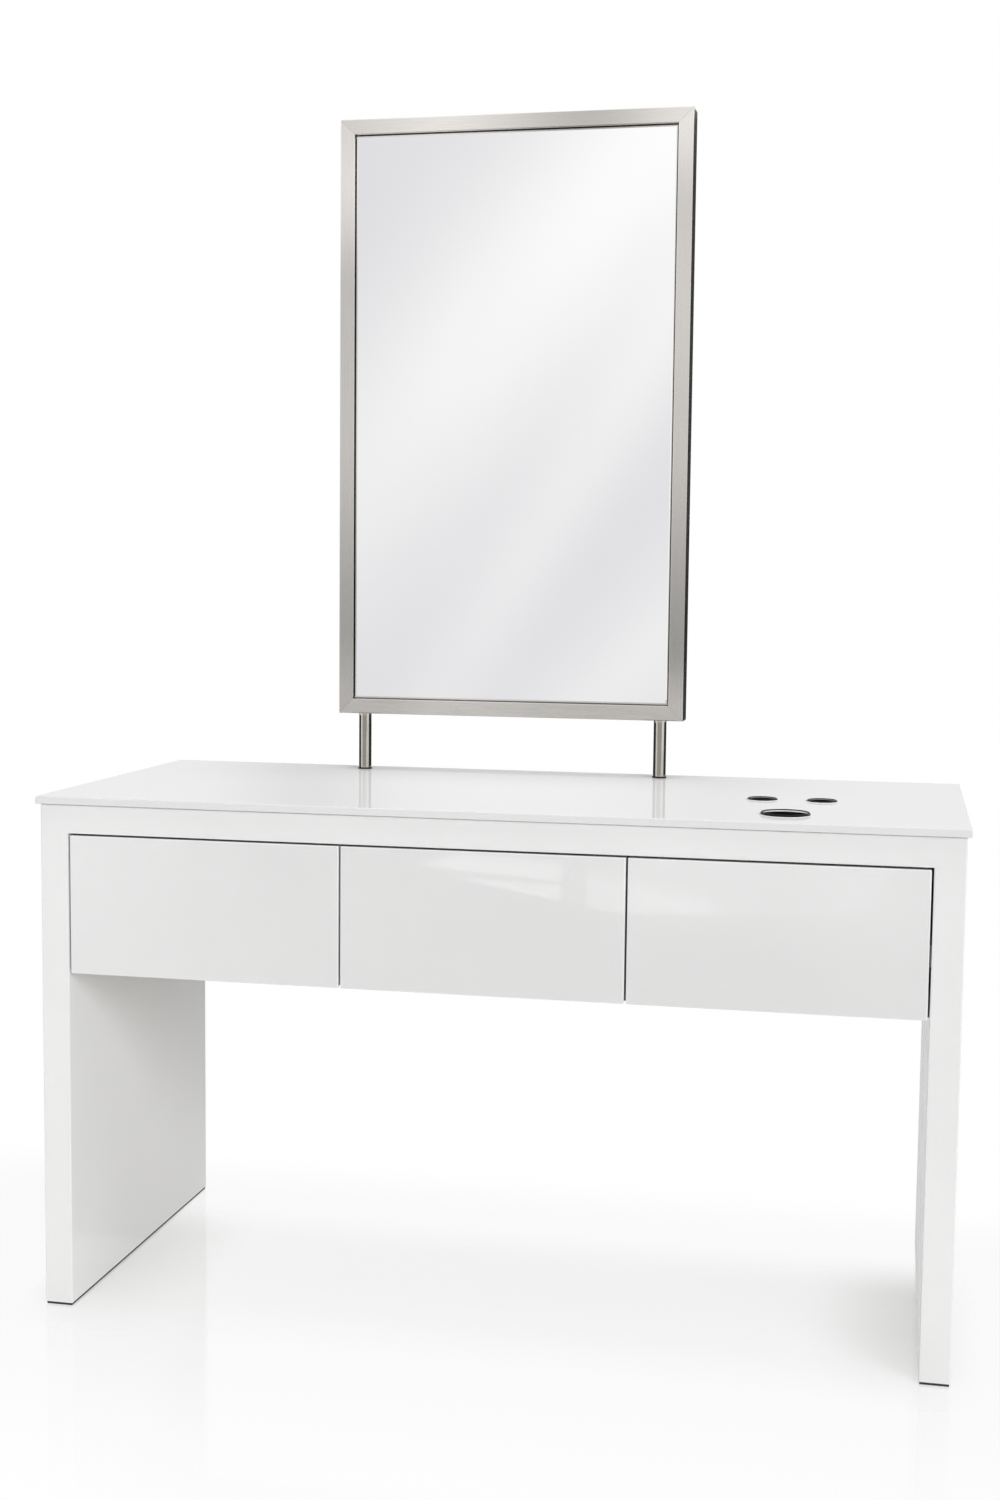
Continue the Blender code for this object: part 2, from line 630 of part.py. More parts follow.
def make_mirror(material):
    y = FRAME_FRONT
    make_frame_member("mirror_frame_bottom", MIRROR_WIDTH, (MIRROR_LEFT, y, MIRROR_BOTTOM), 0, material)
    make_frame_member("mirror_frame_right", MIRROR_HEIGHT, (MIRROR_RIGHT, y, MIRROR_BOTTOM), 1, material)
    make_frame_member("mirror_frame_top", MIRROR_WIDTH, (MIRROR_RIGHT, y, MIRROR_TOP), 2, material)
    make_frame_member("mirror_frame_left", MIRROR_HEIGHT, (MIRROR_LEFT, y, MIRROR_TOP), 3, material)
    inset = Vector((FRAME_FACE + GLASS_REVEAL, 0, FRAME_FACE + GLASS_REVEAL))
    low = Vector((MIRROR_LEFT, 0, MIRROR_BOTTOM)) + inset
    high = Vector((MIRROR_RIGHT, 0, MIRROR_TOP)) - inset
    make_glass(low, high, material)
    near, far = Vector((0, BACKING_FRONT, 0)), Vector((0, BACKING_FRONT + BACKING_THICKNESS, 0))
    soften(board("mirror_backing", low + near, high + far, material["backing"]), PANEL_EDGE_RADIUS)


# Posts


def ring(low, high, inner, outer):
    """The section of a flat ring whose outer edge is half round."""
    half = (high - low) / 2
    edge = arc((outer - half, low + half), half, -math.pi / 2, math.pi / 2, 2 * ARC_STEPS)
    return [(inner, low), *edge, (inner, high)]


def make_post(hand, x, material):
    """A turned post whose stud passes through the worktop and is bolted up under the top panel."""
    place = (x, POST_Y, 0)
    foot = TABLE_HEIGHT + GAP + GASKET_HEIGHT + GAP
    washer_low = CASE_TOP - GAP - WASHER_THICKNESS
    nut_low = washer_low - GAP - NUT_HEIGHT
    tail = nut_low - STUD_TAIL
    profile = [
        (0, tail),
        (STUD_RADIUS, tail),
        (STUD_RADIUS, foot),
        (POST_RADIUS, foot),
        (POST_RADIUS, MIRROR_BOTTOM - GAP),
        (0, MIRROR_BOTTOM - GAP),
    ]
    add_object("mirror_post_" + hand, turned(profile, POST_STEPS), material["steel"], place, smooth=True)
    gasket = ring(TABLE_HEIGHT + GAP, TABLE_HEIGHT + GAP + GASKET_HEIGHT, STUD_HOLE_RADIUS, GASKET_RADIUS)
    add_object("post_gasket_" + hand, turned(gasket, POST_STEPS, True), material["rubber"], place, smooth=True)
    washer = ring(washer_low, CASE_TOP - GAP, STUD_HOLE_RADIUS, WASHER_RADIUS)
    add_object("post_washer_" + hand, turned(washer, STUD_STEPS, True), material["zinc"], place, smooth=True)
    corner_radius = NUT_WIDTH / 2 / math.cos(math.pi / HEXAGON)
    bm = bmesh.new()
    cylinder_into(bm, 0, 0, nut_low, nut_low + NUT_HEIGHT, corner_radius, HEXAGON)
    nut = add_object("post_nut_" + hand, bm, material["zinc"], place)
    bore = bmesh.new()
    cylinder_into(bore, x, POST_Y, nut_low - NUT_HEIGHT, CASE_TOP, STUD_HOLE_RADIUS, STUD_STEPS)
    combine(nut, add_cutter("post_nut_bore_" + hand, bore), "DIFFERENCE")


def main():
    clear_scene()
    material = finishes()
    make_worktop(material)
    make_side_panel("left", -1, material)
    make_side_panel("right", 1, material)
    make_case(material)
    for place, step in zip(DRAWER_PLACES, DRAWER_STEPS):
        make_drawer(place, step, material)
    for name, x, y, bore in HOLDERS:
        make_holder(name, x, y, bore, material)
    make_mirror(material)
    for hand, x in POSTS:
        make_post(hand, x, material)


main()
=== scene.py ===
"""Looks of the free-standing styling station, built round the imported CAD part."""

import math

import bmesh
import bpy
from mathutils import Matrix, Vector

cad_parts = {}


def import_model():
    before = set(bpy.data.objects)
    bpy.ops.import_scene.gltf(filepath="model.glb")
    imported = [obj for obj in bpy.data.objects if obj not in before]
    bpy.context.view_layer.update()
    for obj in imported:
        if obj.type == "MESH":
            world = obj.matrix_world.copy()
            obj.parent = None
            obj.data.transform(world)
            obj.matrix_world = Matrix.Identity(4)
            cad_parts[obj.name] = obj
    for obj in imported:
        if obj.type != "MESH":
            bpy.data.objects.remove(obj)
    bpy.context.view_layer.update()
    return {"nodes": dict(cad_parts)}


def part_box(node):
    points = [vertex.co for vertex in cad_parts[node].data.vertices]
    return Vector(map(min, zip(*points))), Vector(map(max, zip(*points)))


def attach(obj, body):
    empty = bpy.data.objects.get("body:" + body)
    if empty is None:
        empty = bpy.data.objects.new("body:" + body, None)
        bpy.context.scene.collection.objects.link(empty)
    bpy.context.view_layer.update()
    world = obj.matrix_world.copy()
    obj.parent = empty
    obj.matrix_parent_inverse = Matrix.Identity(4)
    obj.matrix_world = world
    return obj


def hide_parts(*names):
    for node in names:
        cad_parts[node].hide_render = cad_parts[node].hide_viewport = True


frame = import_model()

# Camera, fitted to the photograph: place in metres, angles in degrees, lens and sensor in millimetres
CAMERA_PLACE = (0.59384, -3.04297, 1.16005)
CAMERA_HEADING = 11.669
CAMERA_DROP = 5.222
CAMERA_ROLL = 0.596
CAMERA_LENS = 45.912
CAMERA_SENSOR = 36

# Lights: the world's own level, a softbox high above, and a sun as the key, with its angles in degrees
AMBIENT = 0.40
TOP_LIGHT_WATTS = 320
TOP_LIGHT_SIZE = 5.0
TOP_LIGHT_PLACE = (0, -0.9, 9.0)
KEY_LIGHT = 1.33
KEY_HEADING = 41
KEY_HEIGHT = 21
KEY_SOFTNESS = 26

# Bodies and places
DRAWERS = ("left", "middle", "right")
HANDS = ("left", "right")

# Roundings, the shadow gap under the slab, the clearance between pieces, and a cutter's overreach, in metres
CARCASS_EDGE = 0.0018
FRONT_EDGE = 0.0016
WORKTOP_EDGE = 0.0014
SHADOW_GAP_HEIGHT = 0.0009
SHADOW_GAP_DEPTH = 0.003
GAP = 0.0003
CUT_REACH = 0.01

# Painted shade in the gaps between the fronts: a dark band on the front edges of the case
PAINTED_GAP_SHADE_DEPTH = 0.001
PAINTED_GAP_SHADE = 0.08

# Painted shade under the case: a darker warm grey for faces that look down, as a share of the lacquer's tone,
# and the upward lean of a face where it ends
UNDERSIDE_SHADE_TINT = (0.60, 0.565, 0.49)
UNDERSIDE_SHADE_END = (-0.6, -0.4)

# Drawer front: the hollow behind its lower edge
GRIP_LIP = 0.008
GRIP_RISE = 0.017

# Tool holders
HOLDER_WALL = 0.0015
HOLDER_RIM_WIDTH = 0.003
HOLDER_RIM_SHARE = 0.105
HOLDER_DEPTH = 0.110
COLLAR_SHARE = 0.55
HOLDER_FLOOR_RADIUS = 0.006
HOLDER_CLEARANCE = 0.0005
SEAL_WIDTH = 0.0014
SEAL_HEIGHT = 0.0007

# Posts
STUD_RADIUS = 0.005
STUD_CLEARANCE = 0.0005
POST_CHAMFER = 0.0004

# Screws in the back of the case: places as shares of its height, the cross as a share of the head
SCREW_PLACES = (0.2, 0.8)
SCREW_CROSS = 0.62
SCREW_SEAT = GAP / 10
SCREW_RADIUS = 0.0042
SCREW_HEIGHT = 0.0022
SCREW_SLOT = 0.0011
SCREW_SLOT_DEPTH = 0.0012
SCREW_STEPS = 48

# Cards beside the posts: levels, distances, and where the left one starts and how it runs, as (x, y)
POST_FLAG_GREY = 0.42
POST_FLAG_DARK = 0.05
POST_FLAG_REACH = 0.045
POST_FLAG_HALF = 0.028
POST_FLAG_GAP = 0.006
POST_FLAG_START = (-0.024, -0.016)
POST_FLAG_RUN = (-0.0275, 0.059)

# Facets of round pieces and edges
ROUND_STEPS = 96
STUD_STEPS = 32
RIM_STEPS = 10
EDGE_STEPS = 3

# Angles in degrees above which an edge stays sharp
SHARP_ANGLE = 50
POST_SHARP_ANGLE = 40

# Corners this close together, in metres, are one
WELD = 1e-6

# A face that leans up or down less than this is a side
SIDE_LEAN = 0.5

# Between these values lies most of a noise
NOISE_LOW = 0.3
NOISE_HIGH = 0.7


def make_camera():
    data = bpy.data.cameras.new("camera")
    data.lens = CAMERA_LENS
    data.sensor_width = CAMERA_SENSOR
    camera = bpy.data.objects.new("camera", data)
    bpy.context.scene.collection.objects.link(camera)
    turn = Matrix.Rotation(math.radians(CAMERA_HEADING), 4, "Z")
    tilt = Matrix.Rotation(math.radians(90 - CAMERA_DROP), 4, "X")
    roll = Matrix.Rotation(math.radians(CAMERA_ROLL), 4, "Z")
    camera.matrix_world = Matrix.Translation(CAMERA_PLACE) @ turn @ tilt @ roll
    bpy.context.scene.camera = camera


# Node helpers


class Shading:
    """A material's node tree, with short calls to add and join nodes."""

    def __init__(self, name):
        self.material = bpy.data.materials.new(name)
        self.material.use_nodes = True
        self.tree = self.material.node_tree
        self.shader = self.tree.nodes["Principled BSDF"]
        self.output = self.tree.nodes["Material Output"]

    def add(self, kind, values=None, **settings):
        made = self.tree.nodes.new(kind)
        for key, value in settings.items():
            setattr(made, key, value)
        for key, value in (values or {}).items():
            made.inputs[key].default_value = value
        return made

    def join(self, source, target):
        self.tree.links.new(source, target)

    def set(self, **values):
        for key, value in values.items():
            self.shader.inputs[key.replace("_", " ")].default_value = value

    def math(self, operation, first, second):
        """One operation on two values, each an output or a number."""
        made = self.add("ShaderNodeMath", operation=operation)
        for socket, value in zip(made.inputs, (first, second)):
            if isinstance(value, (int, float)):
                socket.default_value = value
            else:
                self.join(value, socket)
        return made.outputs[0]

    def bell(self, value, middle, width):
        """One at the middle, falling off smoothly to both sides."""
        offset = self.math("DIVIDE", self.math("SUBTRACT", value, middle), width)
        return self.math("POWER", math.e, self.math("MULTIPLY", self.math("MULTIPLY", offset, offset), -1.0))

    def product(self, *values):
        total = values[0]
        for value in values[1:]:
            total = self.math("MULTIPLY", total, value)
        return total

    def mix(self, share, first, second):
        """Two shaders mixed by a share."""
        made = self.add("ShaderNodeMixShader")
        self.join(share, made.inputs["Fac"])
        self.join(first, made.inputs[1])
        self.join(second, made.inputs[2])
        return made.outputs[0]

    def place(self, scale):
        """Object coordinates in metres, stretched by a scale for each axis."""
        coordinates = self.add("ShaderNodeTexCoord")
        mapping = self.add("ShaderNodeMapping", {"Scale": scale})
        self.join(coordinates.outputs["Object"], mapping.inputs["Vector"])
        return mapping.outputs["Vector"]

    def noise(self, scale, stretch=(1, 1, 1), detail=2.0, roughness=0.5):
        made = self.add("ShaderNodeTexNoise", {"Scale": scale, "Detail": detail, "Roughness": roughness})
        self.join(self.place(stretch), made.inputs["Vector"])
        return made.outputs["Fac"]

    def ranged(self, source, low, high, start=NOISE_LOW, end=NOISE_HIGH):
        """Maps a value from start..end to low..high."""
        values = {"From Min": start, "From Max": end, "To Min": low, "To Max": high}
        made = self.add("ShaderNodeMapRange", values)
        self.join(source, made.inputs["Value"])
        return made.outputs["Result"]

    def smooth(self, source, start, end):
        """Rises softly from zero to one between two values."""
        values = {"From Min": start, "From Max": end}
        made = self.add("ShaderNodeMapRange", values, interpolation_type="SMOOTHSTEP")
        self.join(source, made.inputs["Value"])
        return made.outputs["Result"]

    def along(self, axis):
        """One object coordinate, in metres."""
        split = self.add("ShaderNodeSeparateXYZ")
        self.join(self.add("ShaderNodeTexCoord").outputs["Object"], split.inputs[0])
        return split.outputs[axis]

    def colours(self, source, stops, interpolation="LINEAR"):
        """A colour ramp with (position, colour) stops."""
        made = self.add("ShaderNodeValToRGB")
        ramp = made.color_ramp
        ramp.interpolation = interpolation
        while len(ramp.elements) < len(stops):
            ramp.elements.new(0.5)
        for element, (position, colour) in zip(ramp.elements, stops):
            element.position = position
            element.color = (*colour, 1.0)
        self.join(source, made.inputs["Fac"])
        return made.outputs["Color"]

    def mottled(self, noise, dark, light):
        """Two colours, mixed by a noise."""
        return self.colours(noise, [(NOISE_LOW, dark), (NOISE_HIGH, light)])

    def tinted(self, colour, share):
        """A colour times another colour or a value."""
        made = self.add("ShaderNodeVectorMath", operation="MULTIPLY")
        self.join(colour, made.inputs[0])
        self.join(share, made.inputs[1])
        return made.outputs["Vector"]

    def bump(self, source, strength, distance):
        made = self.add("ShaderNodeBump", {"Strength": strength, "Distance": distance})
        self.join(source, made.inputs["Height"])
        self.join(made.outputs["Normal"], self.shader.inputs["Normal"])


# Materials

# Lacquer: its white, its drift in tone, how fine drift, gloss and orange peel are, and its shine
LACQUER_WHITE = (1.0, 1.0, 0.995)
LACQUER_DEEP = 0.975
LACQUER_DRIFT_SPAN = (0.35, 0.65)
LACQUER_DRIFT_SCALE = 3.0
LACQUER_GLOSS_SCALE = 14.0
LACQUER_PEEL_SCALE = 240.0
LACQUER_SHINE = 0.3
LACQUER_COAT_SHINE = 0.2

# Solid surface: the tones of its fleck
FLECK_TONES = (0.99, 1.01)

# Brushed steel: the detail and tones of its scratches, and the frame's colours and roughness
SCRATCH_DETAIL = {"detail": 3.0, "roughness": 0.65}
SCRATCH_TONES = (0.90, 1.06)
FRAME_DARK = (0.86, 0.83, 0.785)
FRAME_LIGHT = (0.98, 0.95, 0.90)
BRUSHED_ROUGH = (0.24, 0.36)


def grey(level):
    return (level, level, level)


def lacquer_material(name, shade, gloss, rough=(0.07, 0.13), band=None, coat_index=1.5):
    """White lacquer: a faint orange peel, clouds of gloss and a very slight drift in tone.

    With a band it paints shade: dark in front of that place for the gaps, warm grey where faces look down.
    """
    look = Shading(name)
    pale = tuple(shade * share for share in LACQUER_WHITE)
    deep = tuple(LACQUER_DEEP * value for value in pale)
    tone = look.colours(look.noise(LACQUER_DRIFT_SCALE), list(zip(LACQUER_DRIFT_SPAN, (deep, pale))))
    if band is not None:
        # Painted shade: faces that look down turn a darker warm grey
        facing = look.add("ShaderNodeSeparateXYZ")
        look.join(look.add("ShaderNodeNewGeometry").outputs["Normal"], facing.inputs[0])
        upward = look.ranged(facing.outputs["Z"], 0.0, 1.0, *UNDERSIDE_SHADE_END)
        underside_shade = look.colours(upward, [(0.0, UNDERSIDE_SHADE_TINT), (1.0, grey(1.0))])
        # Painted shade: the case turns dark in front of the band, so the gaps between the fronts look dark
        edge = look.ranged(look.along("Y"), PAINTED_GAP_SHADE, 1.0, band, band + GAP)
        tone = look.tinted(look.tinted(tone, underside_shade), edge)
    look.join(tone, look.shader.inputs["Base Color"])
    look.join(look.ranged(look.noise(LACQUER_GLOSS_SCALE), *rough), look.shader.inputs["Roughness"])
    look.bump(look.noise(LACQUER_PEEL_SCALE), strength=0.02, distance=0.0002)
    look.set(Coat_Weight=gloss, Coat_Roughness=0.012, Coat_IOR=coat_index)
    look.set(Specular_IOR_Level=LACQUER_SHINE + LACQUER_COAT_SHINE * gloss)
    return look.material


def worktop_material(name, shade, gloss=0.45):
    """Polished white solid surface with a fine mineral fleck."""
    look = Shading(name)
    fleck = look.noise(scale=900.0, detail=1.0)
    dark, light = (grey(tone * shade) for tone in FLECK_TONES)
    look.join(look.mottled(fleck, dark, light), look.shader.inputs["Base Color"])
    look.join(look.ranged(look.noise(scale=9.0), low=0.05, high=0.10), look.shader.inputs["Roughness"])
    look.bump(look.noise(scale=60.0), strength=0.01, distance=0.0002)
    look.set(Coat_Weight=gloss, Coat_Roughness=0.03, Specular_IOR_Level=0.0)
    return look.material


def brushed_material(name, stretch, base, rough, grazing=1.0):
    """Brushed steel: fine scratches along one axis. Below one, grazing darkens it at grazing angles."""
    look = Shading(name)
    scratch = look.noise(1.0, stretch, **SCRATCH_DETAIL)
    dark, light = (tuple(tone * value for value in base) for tone in SCRATCH_TONES)
    look.join(look.mottled(scratch, dark, light), look.shader.inputs["Base Color"])
    look.join(look.ranged(scratch, *rough), look.shader.inputs["Roughness"])
    look.bump(scratch, strength=0.10, distance=0.0001)
    look.set(Metallic=1.0, Specular_Tint=(*grey(grazing), 1.0))
    return look.material


def frame_material(name, stretch, axis, tones):
    """Brushed steel for one member of the frame, with a tone that drifts along the member: a painted
    reflection.
    """
    look = Shading(name)
    scratch = look.noise(1.0, stretch, **SCRATCH_DETAIL)
    grain = look.mottled(scratch, FRAME_DARK, FRAME_LIGHT)
    # Painted reflection: a tone along the member that stands in for reflected light and shade
    start, end = tones[0][0], tones[-1][0]
    place = look.ranged(look.along(axis), 0.0, 1.0, start, end)
    stops = [((at - start) / (end - start), grey(tone)) for at, tone in tones]
    look.join(look.tinted(grain, look.colours(place, stops, "EASE")), look.shader.inputs["Base Color"])
    look.join(look.ranged(scratch, *BRUSHED_ROUGH), look.shader.inputs["Roughness"])
    look.bump(scratch, strength=0.10, distance=0.0001)
    look.set(Metallic=1.0)
    return look.material


def mirror_material():
    """Silvered glass: almost perfectly smooth, with a trace of wiping marks in its gloss."""
    look = Shading("silvered_glass")
    haze = look.noise(scale=5.0, stretch=(1.0, 1.0, 0.6), detail=4.0)
    look.join(look.ranged(haze, low=0.0, high=0.012), look.shader.inputs["Roughness"])
    look.join(look.mottled(haze, grey(0.93), grey(0.94)), look.shader.inputs["Base Color"])
    look.set(Metallic=1.0)
    return look.material


def grained_material(name, dark, light, rough, grain=420.0, relief=0.15, gloss=0.5):
    """A matt board, rubber or plastic with a fine grain."""
    look = Shading(name)
    fine = look.noise(grain, detail=3.0)
    look.join(look.mottled(fine, dark, light), look.shader.inputs["Base Color"])
    look.join(look.ranged(fine, *rough), look.shader.inputs["Roughness"])
    look.bump(fine, relief, distance=0.0003)
    look.set(Specular_IOR_Level=gloss)
    return look.material


def zinc_material():
    """Zinc-plated steel: a faint crystal pattern and drawn lines along the rail."""
    look = Shading("zinc_plate")
    light, dark = (0.66, 0.67, 0.68), (0.54, 0.55, 0.57)
    crystals = look.add("ShaderNodeTexVoronoi", {"Scale": 420.0})
    look.join(look.place(scale=(1, 0.35, 1)), crystals.inputs["Vector"])
    tone = look.colours(crystals.outputs["Distance"], [(0.0, light), (0.8, dark)])
    look.join(tone, look.shader.inputs["Base Color"])
    lines = look.noise(scale=1.0, stretch=(900, 14, 900))
    look.join(look.ranged(lines, low=0.25, high=0.42), look.shader.inputs["Roughness"])
    look.bump(lines, strength=0.08, distance=0.0001)
    look.set(Metallic=1.0)
    return look.material


def spun_material(name, dark, light, rough=(0.10, 0.20)):
    """Spun metal with the fine rings that turning leaves."""
    look = Shading(name)
    rings = look.noise(scale=1.0, stretch=(30, 30, 1600), detail=2.0)
    look.join(look.mottled(rings, dark, light), look.shader.inputs["Base Color"])
    look.join(look.ranged(rings, *rough), look.shader.inputs["Roughness"])
    look.bump(rings, strength=0.06, distance=0.0001)
    look.set(Metallic=1.0)
    return look.material


# Painted reflection: how the frame's tone drifts along each member in place of reflected light and shade:
# places in metres along X or Z, and the share of its colour
TOP_PAINTED_REFLECTION = ((-0.36, 0.85), (-0.20, 1.0), (0.06, 0.61), (0.235, 0.91))
BOTTOM_PAINTED_REFLECTION = ((-0.30, 0.685), (-0.19, 0.80), (0.09, 0.68))
LEFT_PAINTED_REFLECTION = ((0.93, 0.63), (1.07, 0.50), (1.40, 0.695), (1.65, 0.665), (1.84, 0.96), (1.93, 0.91))
RIGHT_PAINTED_REFLECTION = ((0.93, 0.69), (1.04, 0.46), (1.42, 0.72), (1.62, 0.76), (1.78, 0.725), (1.93, 0.95))

# How the scratches of brushed steel are stretched along X, Y and Z
BRUSHED_ACROSS = (9, 700, 1500)
BRUSHED_UPRIGHT = (1500, 700, 9)
BRUSHED_POST = (500, 500, 1100)
BRUSHED_CAGE = (400, 60, 400)


def make_materials():
    # In front of this place, just behind the dividers' front faces, the case is darkened as painted shade
    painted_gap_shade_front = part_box("divider_left")[0].y + PAINTED_GAP_SHADE_DEPTH
    steel = (0.64, 0.605, 0.55)
    melamine = ((0.74, 0.74, 0.72), (0.78, 0.78, 0.76))
    bright = ((0.66, 0.65, 0.62), (0.78, 0.77, 0.74))
    burnished = ((0.20, 0.195, 0.185), (0.28, 0.275, 0.26))
    rubber, backing = (grey(0.012), grey(0.03)), (grey(0.02), grey(0.045))
    enamel, plastic = (grey(0.008), grey(0.016)), (grey(0.004), grey(0.010))
    enamel_finish = {"grain": 900.0, "relief": 0.03, "gloss": 0.12}
    plastic_finish = {"grain": 600.0, "relief": 0.05, "gloss": 0.1}
    return {
        "lacquer": lacquer_material("satin_gloss_lacquer", shade=0.87, gloss=0.0),
        "front": lacquer_material("gloss_drawer_front", shade=0.82, gloss=0.8, rough=(0.015, 0.03)),
        # Painted highlight: a lighter, glossier copy of the lacquer for rounded edges
        "arris": lacquer_material("painted_highlight_arris", shade=0.92, gloss=1.0, coat_index=2.0),
        # A touch lighter than the satin lacquer: a faint painted highlight on the carcass's rounded edges
        "eased": lacquer_material("eased_lacquer_painted_highlight", shade=0.88, gloss=0.0),
        "case": lacquer_material("satin_case", shade=0.80, gloss=0.2, band=painted_gap_shade_front),
        "worktop": worktop_material("polished_worktop", shade=0.825),
        "worktop_arris": worktop_material("eased_worktop", shade=0.82, gloss=0.0),
        # Painted shade: a slightly darker copy of the worktop for the slab's side faces
        "worktop_edge": worktop_material("polished_worktop_edge_painted_shade", shade=0.80),
        # Each frame member carries a painted reflection along its length
        "frame_top": frame_material("brushed_steel_top_painted_reflection", BRUSHED_ACROSS, "X", TOP_PAINTED_REFLECTION),
        "frame_bottom": frame_material("brushed_steel_bottom_painted_reflection", BRUSHED_ACROSS, "X", BOTTOM_PAINTED_REFLECTION),
        "frame_left": frame_material("brushed_steel_left_painted_reflection", BRUSHED_UPRIGHT, "Z", LEFT_PAINTED_REFLECTION),
        "frame_right": frame_material("brushed_steel_right_painted_reflection", BRUSHED_UPRIGHT, "Z", RIGHT_PAINTED_REFLECTION),
        "post": brushed_material("brushed_steel_post", BRUSHED_POST, steel, rough=(0.08, 0.14), grazing=0.3),
        "zinc": zinc_material(),
        "bearing": brushed_material("bearing_steel", BRUSHED_CAGE, grey(0.66), rough=(0.12, 0.22)),
        "board": grained_material("white_melamine", *melamine, rough=(0.38, 0.50), grain=300.0, relief=0.05),
        "rubber": grained_material("black_rubber", *rubber, rough=(0.55, 0.75)),
        "backing": grained_material("black_board", *backing, rough=(0.5, 0.7)),
        "rim": grained_material("black_enamel", *enamel, rough=(0.2, 0.3), **enamel_finish),
        "dryer_collar": spun_material("spun_steel", *bright),
        "iron_collar": spun_material("burnished_steel", *burnished),
        "cup": grained_material("black_plastic", *plastic, rough=(0.45, 0.6), **plastic_finish),
        "mirror": mirror_material(),
    }


def dress_nodes(material):
    """Gives each CAD node that stays visible its material."""
    looks = {
        "mirror_glass": "mirror",
        "mirror_backing": "backing",
        "mirror_frame_bottom": "frame_bottom",
        "mirror_frame_top": "frame_top",
        "mirror_frame_left": "frame_left",
        "mirror_frame_right": "frame_right",
        "case_bottom": "case",
        "case_back": "case",
    }
    for hand in HANDS:
        looks["divider_" + hand] = "case"
        looks["foot_strip_" + hand] = "rubber"
        looks["post_washer_" + hand] = "zinc"
        looks["post_nut_" + hand] = "zinc"
        for place in DRAWERS:
            looks[f"{place}_drawer_side_{hand}"] = "board"
            looks[f"{place}_drawer_{hand}_cabinet_rail"] = "zinc"
            looks[f"{place}_drawer_{hand}_drawer_rail"] = "zinc"
            looks[f"{place}_drawer_{hand}_ball_cage"] = "bearing"
    for place in DRAWERS:
        looks[place + "_drawer_back"] = "board"
        looks[place + "_drawer_bottom"] = "board"
    for node, name in looks.items():
        frame["nodes"][node].material_slots[0].material = material[name]


# Shapes


def new_piece(name, bm, materials, body, nodes=(), sharp=None):
    """Turns a bmesh into a piece that rides on a body and stands for CAD nodes."""
    bmesh.ops.recalc_face_normals(bm, faces=bm.faces)
    mesh = bpy.data.meshes.new(name)
    bm.to_mesh(mesh)
    bm.free()
    for material in materials:
        mesh.materials.append(material)
    if sharp is not None:
        mesh.shade_smooth()
        mesh.set_sharp_from_angle(angle=math.radians(sharp))
    made = bpy.data.objects.new(name, mesh)
    bpy.context.scene.collection.objects.link(made)
    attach(made, body)
    if nodes:
        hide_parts(*nodes)
    return made


def box_mesh(low, high):
    bm = bmesh.new()
    bmesh.ops.create_cube(bm, size=1.0)
    low, high = Vector(low), Vector(high)
    bmesh.ops.scale(bm, vec=high - low, verts=bm.verts)
    bmesh.ops.translate(bm, vec=(low + high) / 2, verts=bm.verts)
    return bm


def extruded(points, along):
    """A bar whose end outline is given as points, swept by a vector."""
    bm = bmesh.new()
    face = bm.faces.new([bm.verts.new(point) for point in points])
    grown = bmesh.ops.extrude_face_region(bm, geom=[face])["geom"]
    moved = [item for item in grown if isinstance(item, bmesh.types.BMVert)]
    bmesh.ops.translate(bm, vec=along, verts=moved)
    return bm


def ease(bm, edges, radius):
    """Rounds edges. The rounded strips are smooth and take the second material."""
    made = bmesh.ops.bevel(bm, geom=edges, offset=radius, segments=EDGE_STEPS, profile=0.5, affect="EDGES")
    for face in made["faces"]:
        face.smooth = True
        face.material_index = 1


def turned(profile, steps, place, closed=False):
    """A round piece: (radius, height) points spun about an upright axis."""
    bm = bmesh.new()
    points = [bm.verts.new((radius, 0, height)) for radius, height in profile]
    ends = points[1:] + points[:1] if closed else points[1:]
    edges = [bm.edges.new(pair) for pair in zip(points, ends)]
    bmesh.ops.spin(bm, geom=points + edges, axis=(0, 0, 1), cent=(0, 0, 0), angle=math.tau, steps=steps)
    bmesh.ops.remove_doubles(bm, verts=bm.verts, dist=WELD)
    bmesh.ops.translate(bm, vec=place, verts=bm.verts)
    return bm


def cylinder_into(bm, x, y, low, high, radius, steps):
    size = {"radius1": radius, "radius2": radius, "depth": high - low}
    made = bmesh.ops.create_cone(bm, cap_ends=True, segments=steps, **size)
    bmesh.ops.translate(bm, vec=(x, y, (low + high) / 2), verts=made["verts"])


def cut(target, bm):
    """Takes a cutter's volume out of a piece, and leaves a plain mesh."""
    mesh = bpy.data.meshes.new("cutter")
    bm.to_mesh(mesh)
    bm.free()
    cutter = bpy.data.objects.new("cutter", mesh)
    bpy.context.scene.collection.objects.link(cutter)
    modifier = target.modifiers.new("cut", "BOOLEAN")
    modifier.operation = "DIFFERENCE"
    modifier.solver = "EXACT"
    modifier.object = cutter
    bpy.context.view_layer.update()
    graph = bpy.context.evaluated_depsgraph_get()
    result = bpy.data.meshes.new_from_object(target.evaluated_get(graph))
    target.modifiers.clear()
    target.data = result
    bpy.data.objects.remove(cutter)
    bpy.data.meshes.remove(mesh)


# Table


def holder_facts():
    """Each tool holder's name, centre and rim radius, from the CAD."""
    facts = []
    for name in ("dryer_holder", "iron_holder_left", "iron_holder_right"):
        low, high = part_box(name)
        middle = (low + high) / 2
        facts.append((name, middle.x, middle.y, (high.x - low.x) / 2))
    return facts


def post_facts():
    """Each post's side, place, radius, and lowest and highest point, from the CAD."""
    facts = []
    for hand in HANDS:
        low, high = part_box("mirror_post_" + hand)
        middle = (low + high) / 2
        facts.append((hand, middle.x, middle.y, (high.x - low.x) / 2, low.z, high.z))
    return facts


